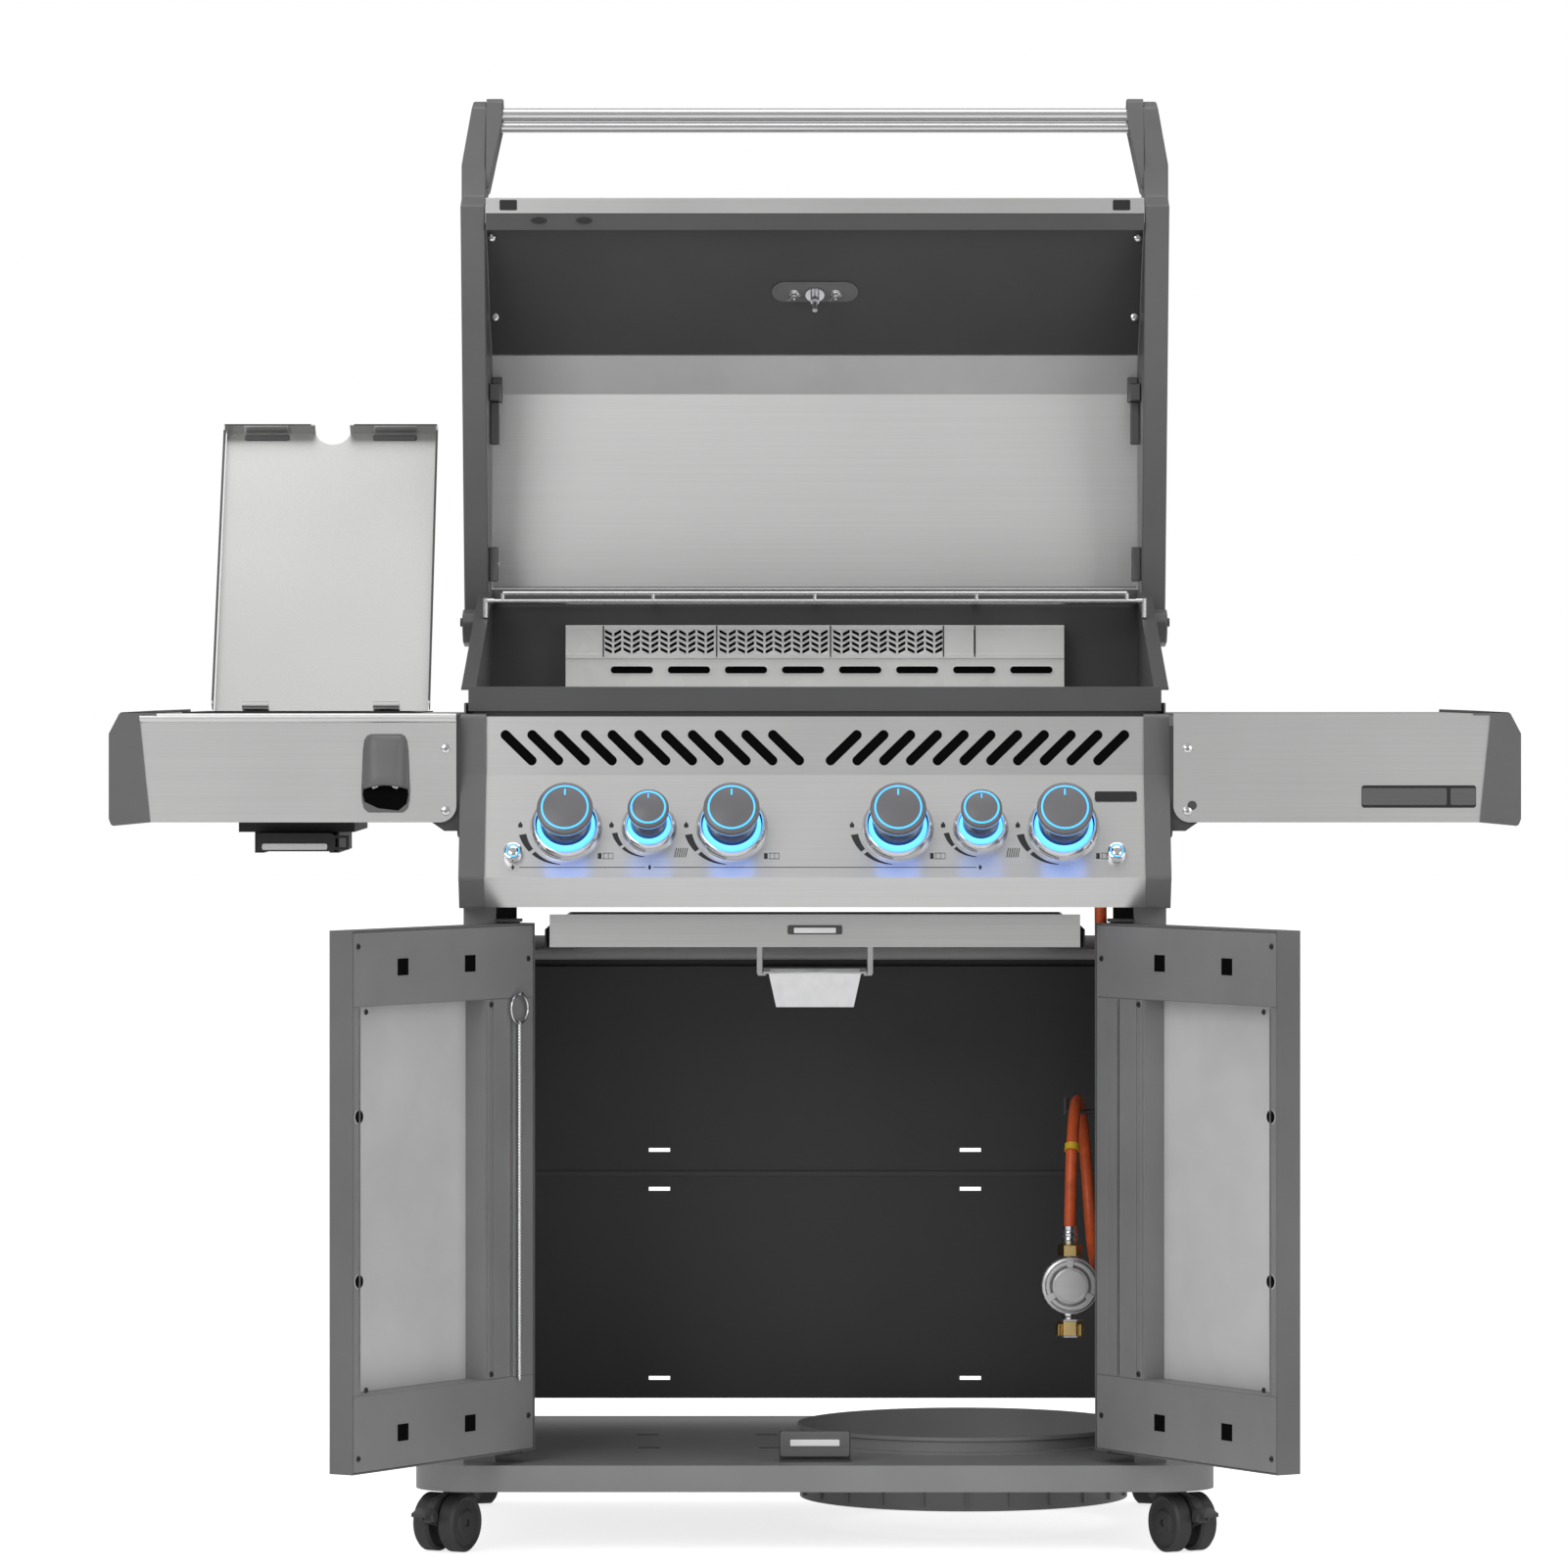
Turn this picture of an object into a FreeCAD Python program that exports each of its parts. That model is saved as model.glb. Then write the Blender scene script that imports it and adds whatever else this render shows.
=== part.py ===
# A four-burner gas barbecue grill on a cabinet cart, with a rear burner, a side
# burner, a folding right shelf, two doors and a gas hose.  Millimetres, +Z up,
# +X to the right seen from the front, -Y towards the cook.
import FreeCAD, Part
import math
import os
import re

import Sketcher

V = FreeCAD.Vector
doc = FreeCAD.newDocument("GasGrill")

# Driving dimensions.  Places are measured from the middle of the cart; set_back
# moves the whole grill so that its bounding box is centred on the origin.
DIMENSIONS = {
    "set_back": 81.93,
    "skin": 2,
    "base_half_x": 438,
    "base_half_y": 300,
    "base_low": 69,
    "base_top": 98,
    "bottle_x": 168,
    "bottle_y": 20,
    "bottle_bore": 183,
    "cart_half": 385,
    "post_width": 35,
    "cart_front": -262,
    "cart_rear": 240,
    "cart_top": 706,
    "wing_top": 930,
    "door_width": 345.5,
    "door_low": 111.4,
    "door_high": 688.8,
    "door_thick": 30,
    "door_face": -285,
    "pin_x": 327,
    "pin_y": -266,
    "door_open": 122,
    "tray_half": 291,
    "tray_low": 662,
    "tray_high": 698,
    "tray_face": -252,
    "box_half": 375,
    "box_front": -247,
    "box_rear": 222,
    "box_floor": 740,
    "rim_front": 947,
    "rim_rear": 1056,
    "grid_level": 925,
    "panel_half": 360,
    "panel_tilt": 65,
    "knob_y": -294.7,
    "knob_z": 794,
    "knob_pitch": 90.5,
    "shelf_inner": 391.6,
    "shelf_outer": 771,
    "shelf_top": 918.5,
    "shelf_low": 799.5,
    "shelf_front": -290,
    "shelf_rear": 190,
    "fold_x": 412,
    "fold_z": 818,
    "side_x": -566,
    "side_sump_x": -573,
    "lid_width": 250,
    "lid_front": -240,
    "lid_hinge_y": 140,
    "lid_hinge_z": 926,
    "lid_open": 121,
    "hood_half": 379,
    "hood_cap": 28,
    "hood_hinge_y": 228,
    "hood_hinge_z": 1022,
    "hood_open": 90,
    "bar_radius": 7.6,
    "caster_x": 392,
    "caster_y": 235,
    "wheel_radius": 32,
    "swivel_offset": 22,
    "hose_radius": 6.75,
    "regulator_x": 286,
    "regulator_y": -55,
    "regulator_z": 277,
}

sheet = doc.addObject("Spreadsheet::Sheet", "Dims")
for row, (alias, value) in enumerate(DIMENSIONS.items(), start=1):
    sheet.set("A%d" % row, alias)
    sheet.set("B%d" % row, str(value))
    sheet.setAlias("B%d" % row, alias)
doc.recompute()

ALIAS = re.compile(r"\b(" + "|".join(DIMENSIONS) + r")\b")
PIECES = []


def expr(value):
    """The text of an expression, with each driving dimension read from the sheet."""
    return ALIAS.sub(r"Dims.\1", str(value))


def bind(thing, **values):
    """Bind properties to expressions; an underscore pair stands for a dot."""
    for name, value in values.items():
        thing.setExpression(name.replace("__", "."), expr(value))


# ---------------------------------------------------------------- solid helpers
def box(x, y, z):
    """A block between two places along each axis."""
    block = doc.addObject("Part::Box", "Block")
    bind(block, Length="%s - (%s)" % (x[1], x[0]), Width="%s - (%s)" % (y[1], y[0]))
    bind(block, Height="%s - (%s)" % (z[1], z[0]))
    bind(block, Placement__Base__x=x[0], Placement__Base__y=y[0], Placement__Base__z=z[0])
    return block


AXIS_TURN = {
    "X": FreeCAD.Rotation(V(0, 1, 0), 90),
    "Y": FreeCAD.Rotation(V(1, 0, 0), -90),
    "Z": FreeCAD.Rotation(),
}


def rod(axis, start, length, radius):
    """A round bar from a start point along +X, +Y or +Z."""
    bar = doc.addObject("Part::Cylinder", "Rod")
    bar.Placement = FreeCAD.Placement(V(), AXIS_TURN[axis])
    bind(bar, Radius=radius, Height=length)
    bind(bar, Placement__Base__x=start[0], Placement__Base__y=start[1], Placement__Base__z=start[2])
    return bar


def sketch_on(body, plane, points):
    """A closed outline on one of the body's origin planes, each corner bound."""
    sketch = body.newObject("Sketcher::SketchObject", "Outline")
    base = [f for f in body.Origin.OriginFeatures if f.Role == plane + "_Plane"][0]
    sketch.AttachmentSupport = [(base, "")]
    sketch.MapMode = "FlatFace"
    values = [(number(a), number(b)) for a, b in points]
    count = len(points)
    for i in range(count):
        a, b = values[i], values[(i + 1) % count]
        sketch.addGeometry(Part.LineSegment(V(a[0], a[1], 0), V(b[0], b[1], 0)), False)
    for i in range(count):
        sketch.addConstraint(Sketcher.Constraint("Coincident", i, 2, (i + 1) % count, 1))
    for i, (across, up) in enumerate(points):
        for kind, text, value in (("DistanceX", across, values[i][0]),
                                  ("DistanceY", up, values[i][1])):
            if abs(value) < 1e-9:
                line = -2 if kind == "DistanceX" else -1
                sketch.addConstraint(Sketcher.Constraint("PointOnObject", i, 1, line))
                continue
            k = sketch.addConstraint(Sketcher.Constraint(kind, -1, 1, i, 1, value))
            sketch.setExpression("Constraints[%d]" % k, expr(text))
    return sketch


def number(text):
    """The present value of an expression made of dimensions and arithmetic."""
    terms = ALIAS.sub(lambda m: str(DIMENSIONS[m.group(1)]), str(text))
    return arithmetic(terms)


def arithmetic(text):
    """Work out a sum of products without brackets nested more than needed."""
    text = text.replace(" ", "")
    while "(" in text:
        inner = re.search(r"\(([^()]*)\)", text)
        text = text[:inner.start()] + repr(arithmetic(inner.group(1))) + text[inner.end():]
    text = text.replace("--", "+").replace("+-", "-")
    total = 0.0
    for term in re.findall(r"[+-]?[^+-]+", text):
        sign = -1.0 if term[0] == "-" else 1.0
        value = sign
        operator = "*"
        for part in re.split(r"([*/])", term.lstrip("+-")):
            if part in ("*", "/"):
                operator = part
            elif operator == "*":
                value *= float(part)
            else:
                value /= float(part)
        total += value
    return total


def prism(plane, points, low, high, corner=None, only=None):
    """An outline on the XY, XZ or YZ plane pushed between two places.

    corner rounds the edges along the push; only(x, y) picks which of them."""
    body = doc.addObject("PartDesign::Body", "Prism")
    sketch = sketch_on(body, plane, points)
    offset = "-(%s)" % high if plane == "XZ" else low
    sketch.setExpression("AttachmentOffset.Base.z", expr(offset))
    pad = body.newObject("PartDesign::Pad", "Push")
    pad.Profile = sketch
    bind(pad, Length="%s - (%s)" % (high, low))
    if corner is not None:
        doc.recompute()
        along = {"XY": V(0, 0, 1), "XZ": V(0, 1, 0), "YZ": V(1, 0, 0)}[plane]
        names = []
        for i, edge in enumerate(pad.Shape.Edges, start=1):
            middle = edge.CenterOfMass
            flat = {"XY": (middle.x, middle.y), "XZ": (middle.x, middle.z),
                    "YZ": (middle.y, middle.z)}[plane]
            straight = len(edge.Vertexes) == 2 and abs(edge.tangentAt(0).dot(along)) > 0.999
            if straight and (only is None or only(*flat)):
                names.append("Edge%d" % i)
        rounding = body.newObject("PartDesign::Fillet", "Corners")
        rounding.Base = (pad, names)
        bind(rounding, Radius=corner)
    return body


def rectangle(x, y):
    """The four corners of a rectangle."""
    return [(x[0], y[0]), (x[1], y[0]), (x[1], y[1]), (x[0], y[1])]


def lathe(points):
    """A profile of (radius, height) points turned round the Z axis."""
    body = doc.addObject("PartDesign::Body", "Turned")
    sketch = sketch_on(body, "XZ", points)
    turn = body.newObject("PartDesign::Revolution", "Turn")
    turn.Profile = sketch
    turn.ReferenceAxis = (sketch, ["V_Axis"])
    turn.Angle = 360
    return body


def moved(thing, x, y, z):
    """Put a body somewhere else without turning it."""
    bind(thing, Placement__Base__x=x, Placement__Base__y=y, Placement__Base__z=z)
    return thing


def join(*solids):
    fused = doc.addObject("Part::MultiFuse", "Joined")
    fused.Shapes = list(solids)
    return fused


def cut(base, *tools):
    left = doc.addObject("Part::Cut", "Cut")
    left.Base = base
    left.Tool = tools[0] if len(tools) == 1 else join(*tools)
    return left


def group(*solids):
    """Separate solids that share one sub-part."""
    together = doc.addObject("Part::Compound", "Group")
    together.Links = list(solids)
    return together


def mirrored(solid):
    """The same solid on the other side of the middle plane."""
    other = doc.addObject("Part::Mirroring", "Mirrored")
    other.Source = solid
    other.Normal = V(1, 0, 0)
    return other


def turned(thing, axis, angle, x=0, y=0, z=0):
    """Turn a thing about an axis through its own origin, then move it."""
    thing.Placement = FreeCAD.Placement(V(), FreeCAD.Rotation(axis, 10))
    bind(thing, Placement__Rotation__Angle=angle)
    return moved(thing, x, y, z)


def smooth_path(points):
    """Straight runs joined by arcs that touch both, through hand-picked corners."""
    points = [V(*p) for p in points]
    edges = []
    start = points[0]
    for before, corner, after in zip(points, points[1:], points[2:]):
        back = (before - corner).normalize()
        ahead = (after - corner).normalize()
        reach = 0.45 * min((before - corner).Length, (after - corner).Length)
        first = corner + back * reach
        last = corner + ahead * reach
        half_turn = (math.pi - back.getAngle(ahead)) / 2
        radius = reach / math.tan(half_turn)
        halfway = (back + ahead).normalize()
        middle = corner + halfway * (math.hypot(radius, reach) - radius)
        edges.append(Part.makeLine(start, first))
        edges.append(Part.Arc(first, middle, last).toShape())
        start = last
    edges.append(Part.makeLine(start, points[-1]))
    return Part.Wire(edges)


def tube(path_shape, start, direction, radius):
    """A round section carried along a path."""
    path = doc.addObject("Part::Feature", "Path")
    path.Shape = path_shape
    section = doc.addObject("Part::Circle", "Section")
    section.Placement = FreeCAD.Placement(V(*start), FreeCAD.Rotation(V(0, 0, 1), V(*direction)))
    bind(section, Radius=radius)
    sweep = doc.addObject("Part::Sweep", "Tube")
    sweep.Sections = [section]
    sweep.Spine = (path, [])
    sweep.Solid = True
    sweep.Frenet = False
    return sweep


def piece(name, thing):
    """Name a finished sub-part that is modelled where it stands."""
    thing.Label = name
    bind(thing, Placement__Base__y="set_back")
    PIECES.append(thing)


def placed(name, thing, x, y, z, axis=None, angle=None):
    """Name a sub-part modelled round its own origin and put it in the grill."""
    if axis is not None:
        thing.Placement = FreeCAD.Placement(V(), FreeCAD.Rotation(axis, 10))
        bind(thing, Placement__Rotation__Angle=angle)
    moved(thing, x, "%s + set_back" % y, z)
    thing.Label = name
    PIECES.append(thing)


def swung(name, thing, axis, angle, centre):
    """Name a sub-part modelled shut and swing it about its hinge to where it rests."""
    thing.Placement = FreeCAD.Placement(V(), FreeCAD.Rotation(axis, 10))
    bind(thing, Placement__Rotation__Angle=angle)
    sign = int(axis.x + axis.z)
    a, b = centre
    first = "%s - (%s) * cos(%s) + %d * (%s) * sin(%s)" % (a, a, angle, sign, b, angle)
    second = "%s - %d * (%s) * sin(%s) - (%s) * cos(%s)" % (b, sign, a, angle, b, angle)
    if axis.x:
        bind(thing, Placement__Base__y=first + " + set_back", Placement__Base__z=second)
    else:
        bind(thing, Placement__Base__x=first, Placement__Base__y=second + " + set_back")
    thing.Label = name
    PIECES.append(thing)


# ------------------------------------------------------------------ cart base
def slot_row(xs, y, z):
    """Small slots cut through a plate, one at each place across."""
    half_long = 12.3
    return [box((x - half_long, x + half_long), y, z) for x in xs]


def build_base():
    corner = 60
    outer = prism("XY", rectangle(("-base_half_x", "base_half_x"), ("-base_half_y", "base_half_y")),
                  "base_low", "base_top", corner=corner)
    inside_x = ("-base_half_x + skin", "base_half_x - skin")
    inside_y = ("-base_half_y + skin", "base_half_y - skin")
    hollow = prism("XY", rectangle(inside_x, inside_y), "base_low - 1", "base_top - skin",
                   corner="%d - skin" % corner)
    well = rod("Z", ("bottle_x", "bottle_y", 60), 50, "bottle_bore + 3.5")
    slots = slot_row((-185, -50), (-95, -90), (90, 105))
    slots += slot_row((-190, -55), (60, 65), (90, 105))
    sockets = []
    bores = []
    for x in ("-caster_x", "caster_x"):
        for y in ("-caster_y", "caster_y"):
            sockets.append(rod("Z", (x, y, "base_low"), "base_top - skin - base_low + 1", 15))
            bores.append(rod("Z", (x, y, "base_low - 1"), 22, 5.55))
    shell = cut(outer, hollow, well, *slots)
    piece("base_tray", cut(join(shell, *sockets), *bores))


def build_collar():
    floor = 34
    top = 116
    outer = "bottle_bore + skin"
    wall = lathe([("bottle_bore - 33", floor), (outer, floor), (outer, "base_top"),
                  ("bottle_bore + 17", "base_top"), ("bottle_bore + 17", "base_top + skin"),
                  (outer, "base_top + skin"), (outer, top - 4), ("bottle_bore + 4.5", top - 4),
                  ("bottle_bore + 4.5", top), ("bottle_bore", top),
                  ("bottle_bore", "%d + skin" % floor), ("bottle_bore - 33", "%d + skin" % floor)])
    placed("bottle_collar", wall, "bottle_x", "bottle_y", 0)


# -------------------------------------------------------------------- casters
def caster_yoke():
    """The swivelling body of a twin-wheel caster, with its stem, facing +Y."""
    stem = rod("Z", (0, 0, 60), 30, 5.5)
    collar = rod("Z", (0, 0, "2 * wheel_radius + 0.6"), 4.1, 16)
    arch = prism("YZ", [(-14, 55), (-14, 66), (16, 66), (46, 60), (62, 46), (63, 35),
                        (56, 33), (34, 26), (14, 30), (8, 44)], -5, 5, corner=2)
    axle = rod("X", (-24, "swivel_offset", "wheel_radius"), 48, 4)
    pin = rod("X", (-9, 59, 40), 18, 2)
    return join(stem, collar, arch, axle, pin)


def caster_wheels():
    """Two dished wheels that turn together on the axle."""
    hub = 4.05
    wheel = lathe([(hub, -10), (13, -10), (16, -8), (25, -8), ("wheel_radius - 3", -10),
                   ("wheel_radius", -7), ("wheel_radius", 7), ("wheel_radius - 3", 10),
                   (25, 8), (16, 8), (13, 10), (hub, 10)])
    right = turned(wheel, V(0, 1, 0), 90, 16, 0, 0)
    return group(right, mirrored(right))


def brake_lever():
    """A foot lever whose two cheeks sit on the pin at the yoke's tip."""
    blade = prism("YZ", [(55, 37), (55, 43), (58, 47), (66, 51), (81, 46), (81, 42), (66, 45),
                         (63.5, 36), (58, 35)], -9, 9)
    slot = box((-5.3, 5.3), (50, 65.5), (30, 60))
    bore = rod("X", (-10, 59, 40), 20, 2.05)
    return cut(blade, slot, bore)


def build_casters():
    heading = {"front_left": 150, "front_right": 210, "rear_left": 20, "rear_right": -20}
    for place, angle in heading.items():
        x = "-caster_x" if "left" in place else "caster_x"
        y = "-caster_y" if "front" in place else "caster_y"
        turn = math.radians(angle)
        ahead_x = -math.sin(turn)
        ahead_y = math.cos(turn)
        placed("caster_yoke_" + place, caster_yoke(), x, y, 0, V(0, 0, 1), angle)
        placed("caster_wheels_" + place, caster_wheels(),
               "%s + %.6f * swivel_offset" % (x, ahead_x),
               "%s + %.6f * swivel_offset" % (y, ahead_y), "wheel_radius", V(0, 0, 1), angle)
        if "front" in place:
            placed("caster_brake_" + place, brake_lever(), x, y, 0, V(0, 0, 1), angle)


# ----------------------------------------------------------------------- cart
def build_side_panels():
    outer = "cart_half"
    inner = "cart_half - post_width"
    section = [(outer, "cart_front"), (outer, "cart_rear"), ("cart_half - 40", "cart_rear"),
               ("cart_half - 40", "cart_rear - skin"), (outer + " - skin", "cart_rear - skin"),
               (outer + " - skin", "cart_front + skin"), (inner + " + skin", "cart_front + skin"),
               (inner + " + skin", "cart_front + 22"), (inner, "cart_front + 22"),
               (inner, "cart_front")]
    wall = prism("XY", section, "base_top", "cart_top")
    wing = box((outer + " - skin", outer), ("box_front + 1", "cart_rear"), ("cart_top", "wing_top"))
    right = join(wall, wing)
    piece("side_panels", group(right, mirrored(right)))


def build_back_panels():
    behind = ("cart_rear", "cart_rear + skin")
    through = ("cart_rear - 1", "cart_rear + skin + 1")
    wide = ("-cart_half + 5", "cart_half - 5")
    upper = cut(box(wide, behind, (384.5, 622)), *slot_row((-180, 180), through, (409, 413.5)))
    lower_slots = slot_row((-180, 180), through, (364, 368.5))
    lower_slots += slot_row((-180, 180), through, (145, 149.5))
    lower = cut(box(wide, behind, (124, 384)), *lower_slots)
    half = "cart_half - 40.5"
    rail = prism("YZ", [("cart_rear - 12", 622), ("cart_rear + skin", 622),
                        ("cart_rear + skin", 646), ("cart_rear - 12", 646),
                        ("cart_rear - 12", 644), ("cart_rear", 644), ("cart_rear", 624),
                        ("cart_rear - 12", 624)], "-(%s)" % half, half)
    piece("back_panels", group(upper, lower, rail))


def tray_rail():
    """An angle that carries one side of the drip tray."""
    ledge = box(("tray_half - 23", "cart_half - skin"), (-200, 235), ("tray_low - 4", "tray_low - 2"))
    guide = box(("tray_half + 5", "tray_half + 7"), (-200, 235), ("tray_low - 4", "tray_low + 18"))
    return join(ledge, guide)


def shelf_bracket(side, y, foot_y):
    """A cheek bolted to the cart side that holds a shelf pivot or shelf end."""
    plate = prism("XZ", [(side, 790), (side, 905), ("cart_half + 12", 905), ("cart_half + 43", 838),
                         ("cart_half + 43", 806), ("cart_half + 20", 790)], y, y + 3)
    foot = box((side, side + " + 3"), foot_y, (790, 905))
    return cut(join(plate, foot), rod("Y", ("fold_x", y - 1, "fold_z"), 5, 5))


def build_brackets():
    rail = tray_rail()
    front = shelf_bracket("cart_half + 3", -284, (-284, -264))
    rear = shelf_bracket("cart_half", 181, (164, 184))
    arms = [front, rear, mirrored(front), mirrored(rear)]
    foot = box((-39, 39), (-262, -235), ("base_top", "base_top + 2"))
    tab = box((-39, 39), (-247, -245), ("base_top", 131))
    magnet = box((-36, 36), (-253, -247), (112, 128))
    catch = join(foot, tab, magnet)
    hook = join(rod("X", (284, 44, 466), 99, 3), rod("Z", (284, 44, 463), 19, 3))
    piece("cart_brackets", group(rail, mirrored(rail), catch, hook, *arms))


# -------------------------------------------------------------------- firebox
def build_firebox():
    wall = 3
    outline = [("box_front", "box_floor"), ("box_rear", "box_floor"), ("box_rear", "rim_rear + 4"),
               ("box_rear - 17", "rim_rear"), ("box_front", "rim_front")]
    outer = prism("YZ", outline, "-box_half", "box_half")
    inner_x = ("-box_half + %d" % wall, "box_half - %d" % wall)
    inner = box(inner_x, ("box_front + 3", "box_rear - 3"), ("box_floor + 3", 1100))
    chute = box((-250, 250), (-150, 150), (700, 760))
    skirt = cut(box((-253, 253), (-153, 153), (708, "box_floor + 1")),
                box((-250, 250), (-150, 150), (700, 760)))
    ports = [rod("Y", (x, "box_front - 10", 815), 40, 15) for x in (-255, -85, 85, 255)]
    tub = cut(outer, inner, chute, *ports)
    lip = prism("YZ", [("box_front - 7", "rim_front - 26"), ("box_front - 7", "rim_front"),
                       ("box_front + 3", "rim_front"), ("box_front + 3", "rim_front - 3"),
                       ("box_front - 4", "rim_front - 3"), ("box_front - 4", "rim_front - 26")],
                "-box_half - 5", "box_half + 5")
    flange = prism("YZ", [("box_front - 7", "rim_front - 3"), ("box_front - 7", "rim_front"),
                          ("box_front", "rim_front"), ("box_rear - 17", "rim_rear"),
                          ("box_rear", "rim_rear"), ("box_rear", "rim_rear - 3"),
                          ("box_rear - 17", "rim_rear - 3"), ("box_front", "rim_front - 3")],
                   "box_half", "box_half + 13")
    ledges = [box(inner_x, ("box_front + 3", "box_front + 12"), ("grid_level - 17", "grid_level - 13")),
              box(inner_x, ("box_rear - 12", "box_rear - 3"), ("grid_level - 17", "grid_level - 13"))]
    bosses = [rod("X", ("box_half", y, 850), "cart_half - skin - box_half", 10) for y in (-150, 150)]
    ear = prism("YZ", [(195, 975), (236, 1000), (242, 1022), (238, 1036), (222, 1044), (195, 1044)],
                "box_half - 3", "box_half + 2")
    right = [flange, ear] + bosses
    left = [mirrored(part) for part in right]
    piece("firebox", join(tub, skirt, lip, *(ledges + right + left)))


def build_burners():
    tubes = []
    plates = []
    for x in (-255, -85, 85, 255):
        pipe = cut(rod("Y", (x, "box_front - 4", 815), "box_rear - 3 - (box_front - 4)", 12.5),
                   rod("Y", (x, "box_front - 5", 815), 440, 11))
        ports = [box((x - 14, x + 14), (y, y + 2), (816, 817.2)) for y in range(-210, 190, 40)]
        tubes.append(cut(pipe, *ports))
        roof = [(x - 62, 850), (x - 62, 848), (x - 58, 848), (x, 882), (x + 58, 848),
                (x + 62, 848), (x + 62, 850), (x + 58.5, 850.3), (x, 884.5), (x - 58.5, 850.3)]
        plates.append(prism("XZ", roof, "box_front + 3", "box_rear - 3"))
    piece("burner_tubes", group(*tubes))
    piece("sear_plates", group(*plates))


def cooking_grid():
    """Wavy bars on three cross bars, filling the right half of the firebox."""
    bar_radius = 3.6
    wave = 5.0
    pitch = 21.5
    inner = 1.5
    outer = 371
    front = -241
    rear = 216
    cross = [box((inner, outer), (y, y + 8), ("grid_level - 13", "grid_level - 6.5"))
             for y in (front, -120, -16, 88, rear - 8)]
    bars = []
    count = 17
    for i in range(count):
        x = inner + 12.5 + i * pitch
        height = DIMENSIONS["grid_level"] - bar_radius
        step = (rear - front) / 16.0
        knots = [(x, front, height)]
        for k in range(8):
            knots.append((x + wave * (1 - 2 * (k % 2)), front + (2 * k + 1) * step, height))
        knots.append((x, rear, height))
        ahead = V(*knots[1]) - V(*knots[0])
        bars.append(tube(smooth_path(knots), knots[0], ahead, bar_radius))
    return join(*(cross + bars))


def build_grids():
    grid = cooking_grid()
    piece("cooking_grids", group(grid, mirrored(grid)))


def build_warming_rack():
    level = 1045
    thick = 3.2
    front = 78
    ends = (-368, -184, 0, 184, 368)
    back = "box_rear - 3 - %d" % front
    ribs = [rod("Y", (x, front, level), back, thick) for x in ends]
    lines = [rod("X", (-368, y, level), 736, 2.4) for y in (78, 96, 114, 132, 150, 168, 186, 204)]
    rail = [rod("X", (-355, 78, level + 9), 710, 2.4)]
    posts = [rod("Z", (x, 78, level), 9, 2.4) for x in (-355, -184, 0, 184, 355)]
    legs = []
    for side in (-1, 1):
        outer = side * 374.5
        legs.append(rod("X", (min(side * 365, outer), 78, level), 9.5, thick))
        legs.append(rod("Z", (outer, 78, 1026.5), level + thick - 1026.5, thick))
    piece("warming_rack", join(*(ribs + lines + rail + posts + legs)))


def build_rear_burner():
    half = 287
    rear = "box_rear - 3"
    front = "box_rear - 34"
    shell = box((-half, half), (front, rear), (947, 1018))
    cavity = box((-half + 40, half - 40), ("box_rear - 30", "box_rear"), (950, 1015))
    cavity_low = box((-half + 4, half - 4), ("box_rear - 30", "box_rear - 1"), (950, 978))
    window = box((-242, 148), ("box_rear - 40", "box_rear"), (984, 1015))
    starts = [-235 + i * 65.7 for i in range(8)]
    slots = [box((x, x + 48.6), ("box_rear - 40", "box_rear - 28"), (963, 971)) for x in starts]
    piece("rear_burner_housing", cut(shell, cavity, cavity_low, window, *slots))
    tile = box((-241, 147), ("box_rear - 30", "box_rear - 14"), (985, 1014))
    dividers = [box((x - 7.5, x + 7.5), ("box_rear - 32", "box_rear - 30"), (985, 1014))
                for x in (-113, 18)]
    feet = [box((x - 10, x + 10), ("box_rear - 15", "box_rear - 3"), (990, 1010))
            for x in (-200, -47, 106)]
    piece("rear_burner_tile", join(tile, *(dividers + feet)))


# -------------------------------------------------------------- control panel
KNOB_STEPS = (-3, -2, -1, 1, 2, 3)


def on_panel(thing, x, out=0):
    """Stand a body, modelled along +Z, square to the panel's main band."""
    y = "knob_y - %.4f * sin(panel_tilt)" % out
    z = "knob_z + %.4f * cos(panel_tilt)" % out
    return turned(thing, V(1, 0, 0), "panel_tilt", x, y, z)


def knob_x(step):
    """Centre of a knob; the row is evenly spaced each side of a wider middle gap."""
    return "%d * knob_pitch" % step


def build_manifold():
    rail_y = -262
    rail_z = 778
    main = rod("X", (-325, rail_y, rail_z), 651, 9)
    bodies = []
    bores = []
    for step in KNOB_STEPS:
        bodies.append(on_panel(doc.addObject("Part::Cylinder", "Valve"), knob_x(step), -36))
        bind(bodies[-1], Radius=10.5, Height=30)
        bores.append(on_panel(doc.addObject("Part::Cylinder", "StemBore"), knob_x(step), -20))
        bind(bores[-1], Radius=4.05, Height=30)
    inlet = rod("Z", (313, rail_y + 3.5, 753), 25, 8.5)
    brackets = [box((x, x + 20), (rail_y, "box_front"), (rail_z - 3, rail_z + 3)) for x in (-222, 202)]
    piece("gas_manifold", cut(join(main, inlet, *(bodies + brackets)), *bores))


def panel_outline():
    """The bent sheet seen from the side."""
    return [(-255, 915), (-262, 915), (-268, 851), (-320, 740), (-300, 707), (-290, 707),
            (-290, 708.5), (-299.2, 708.5), (-318.3, 740.1), (-266.5, 850.7), (-260.6, 913.5),
            (-255, 913.5)]


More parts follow.
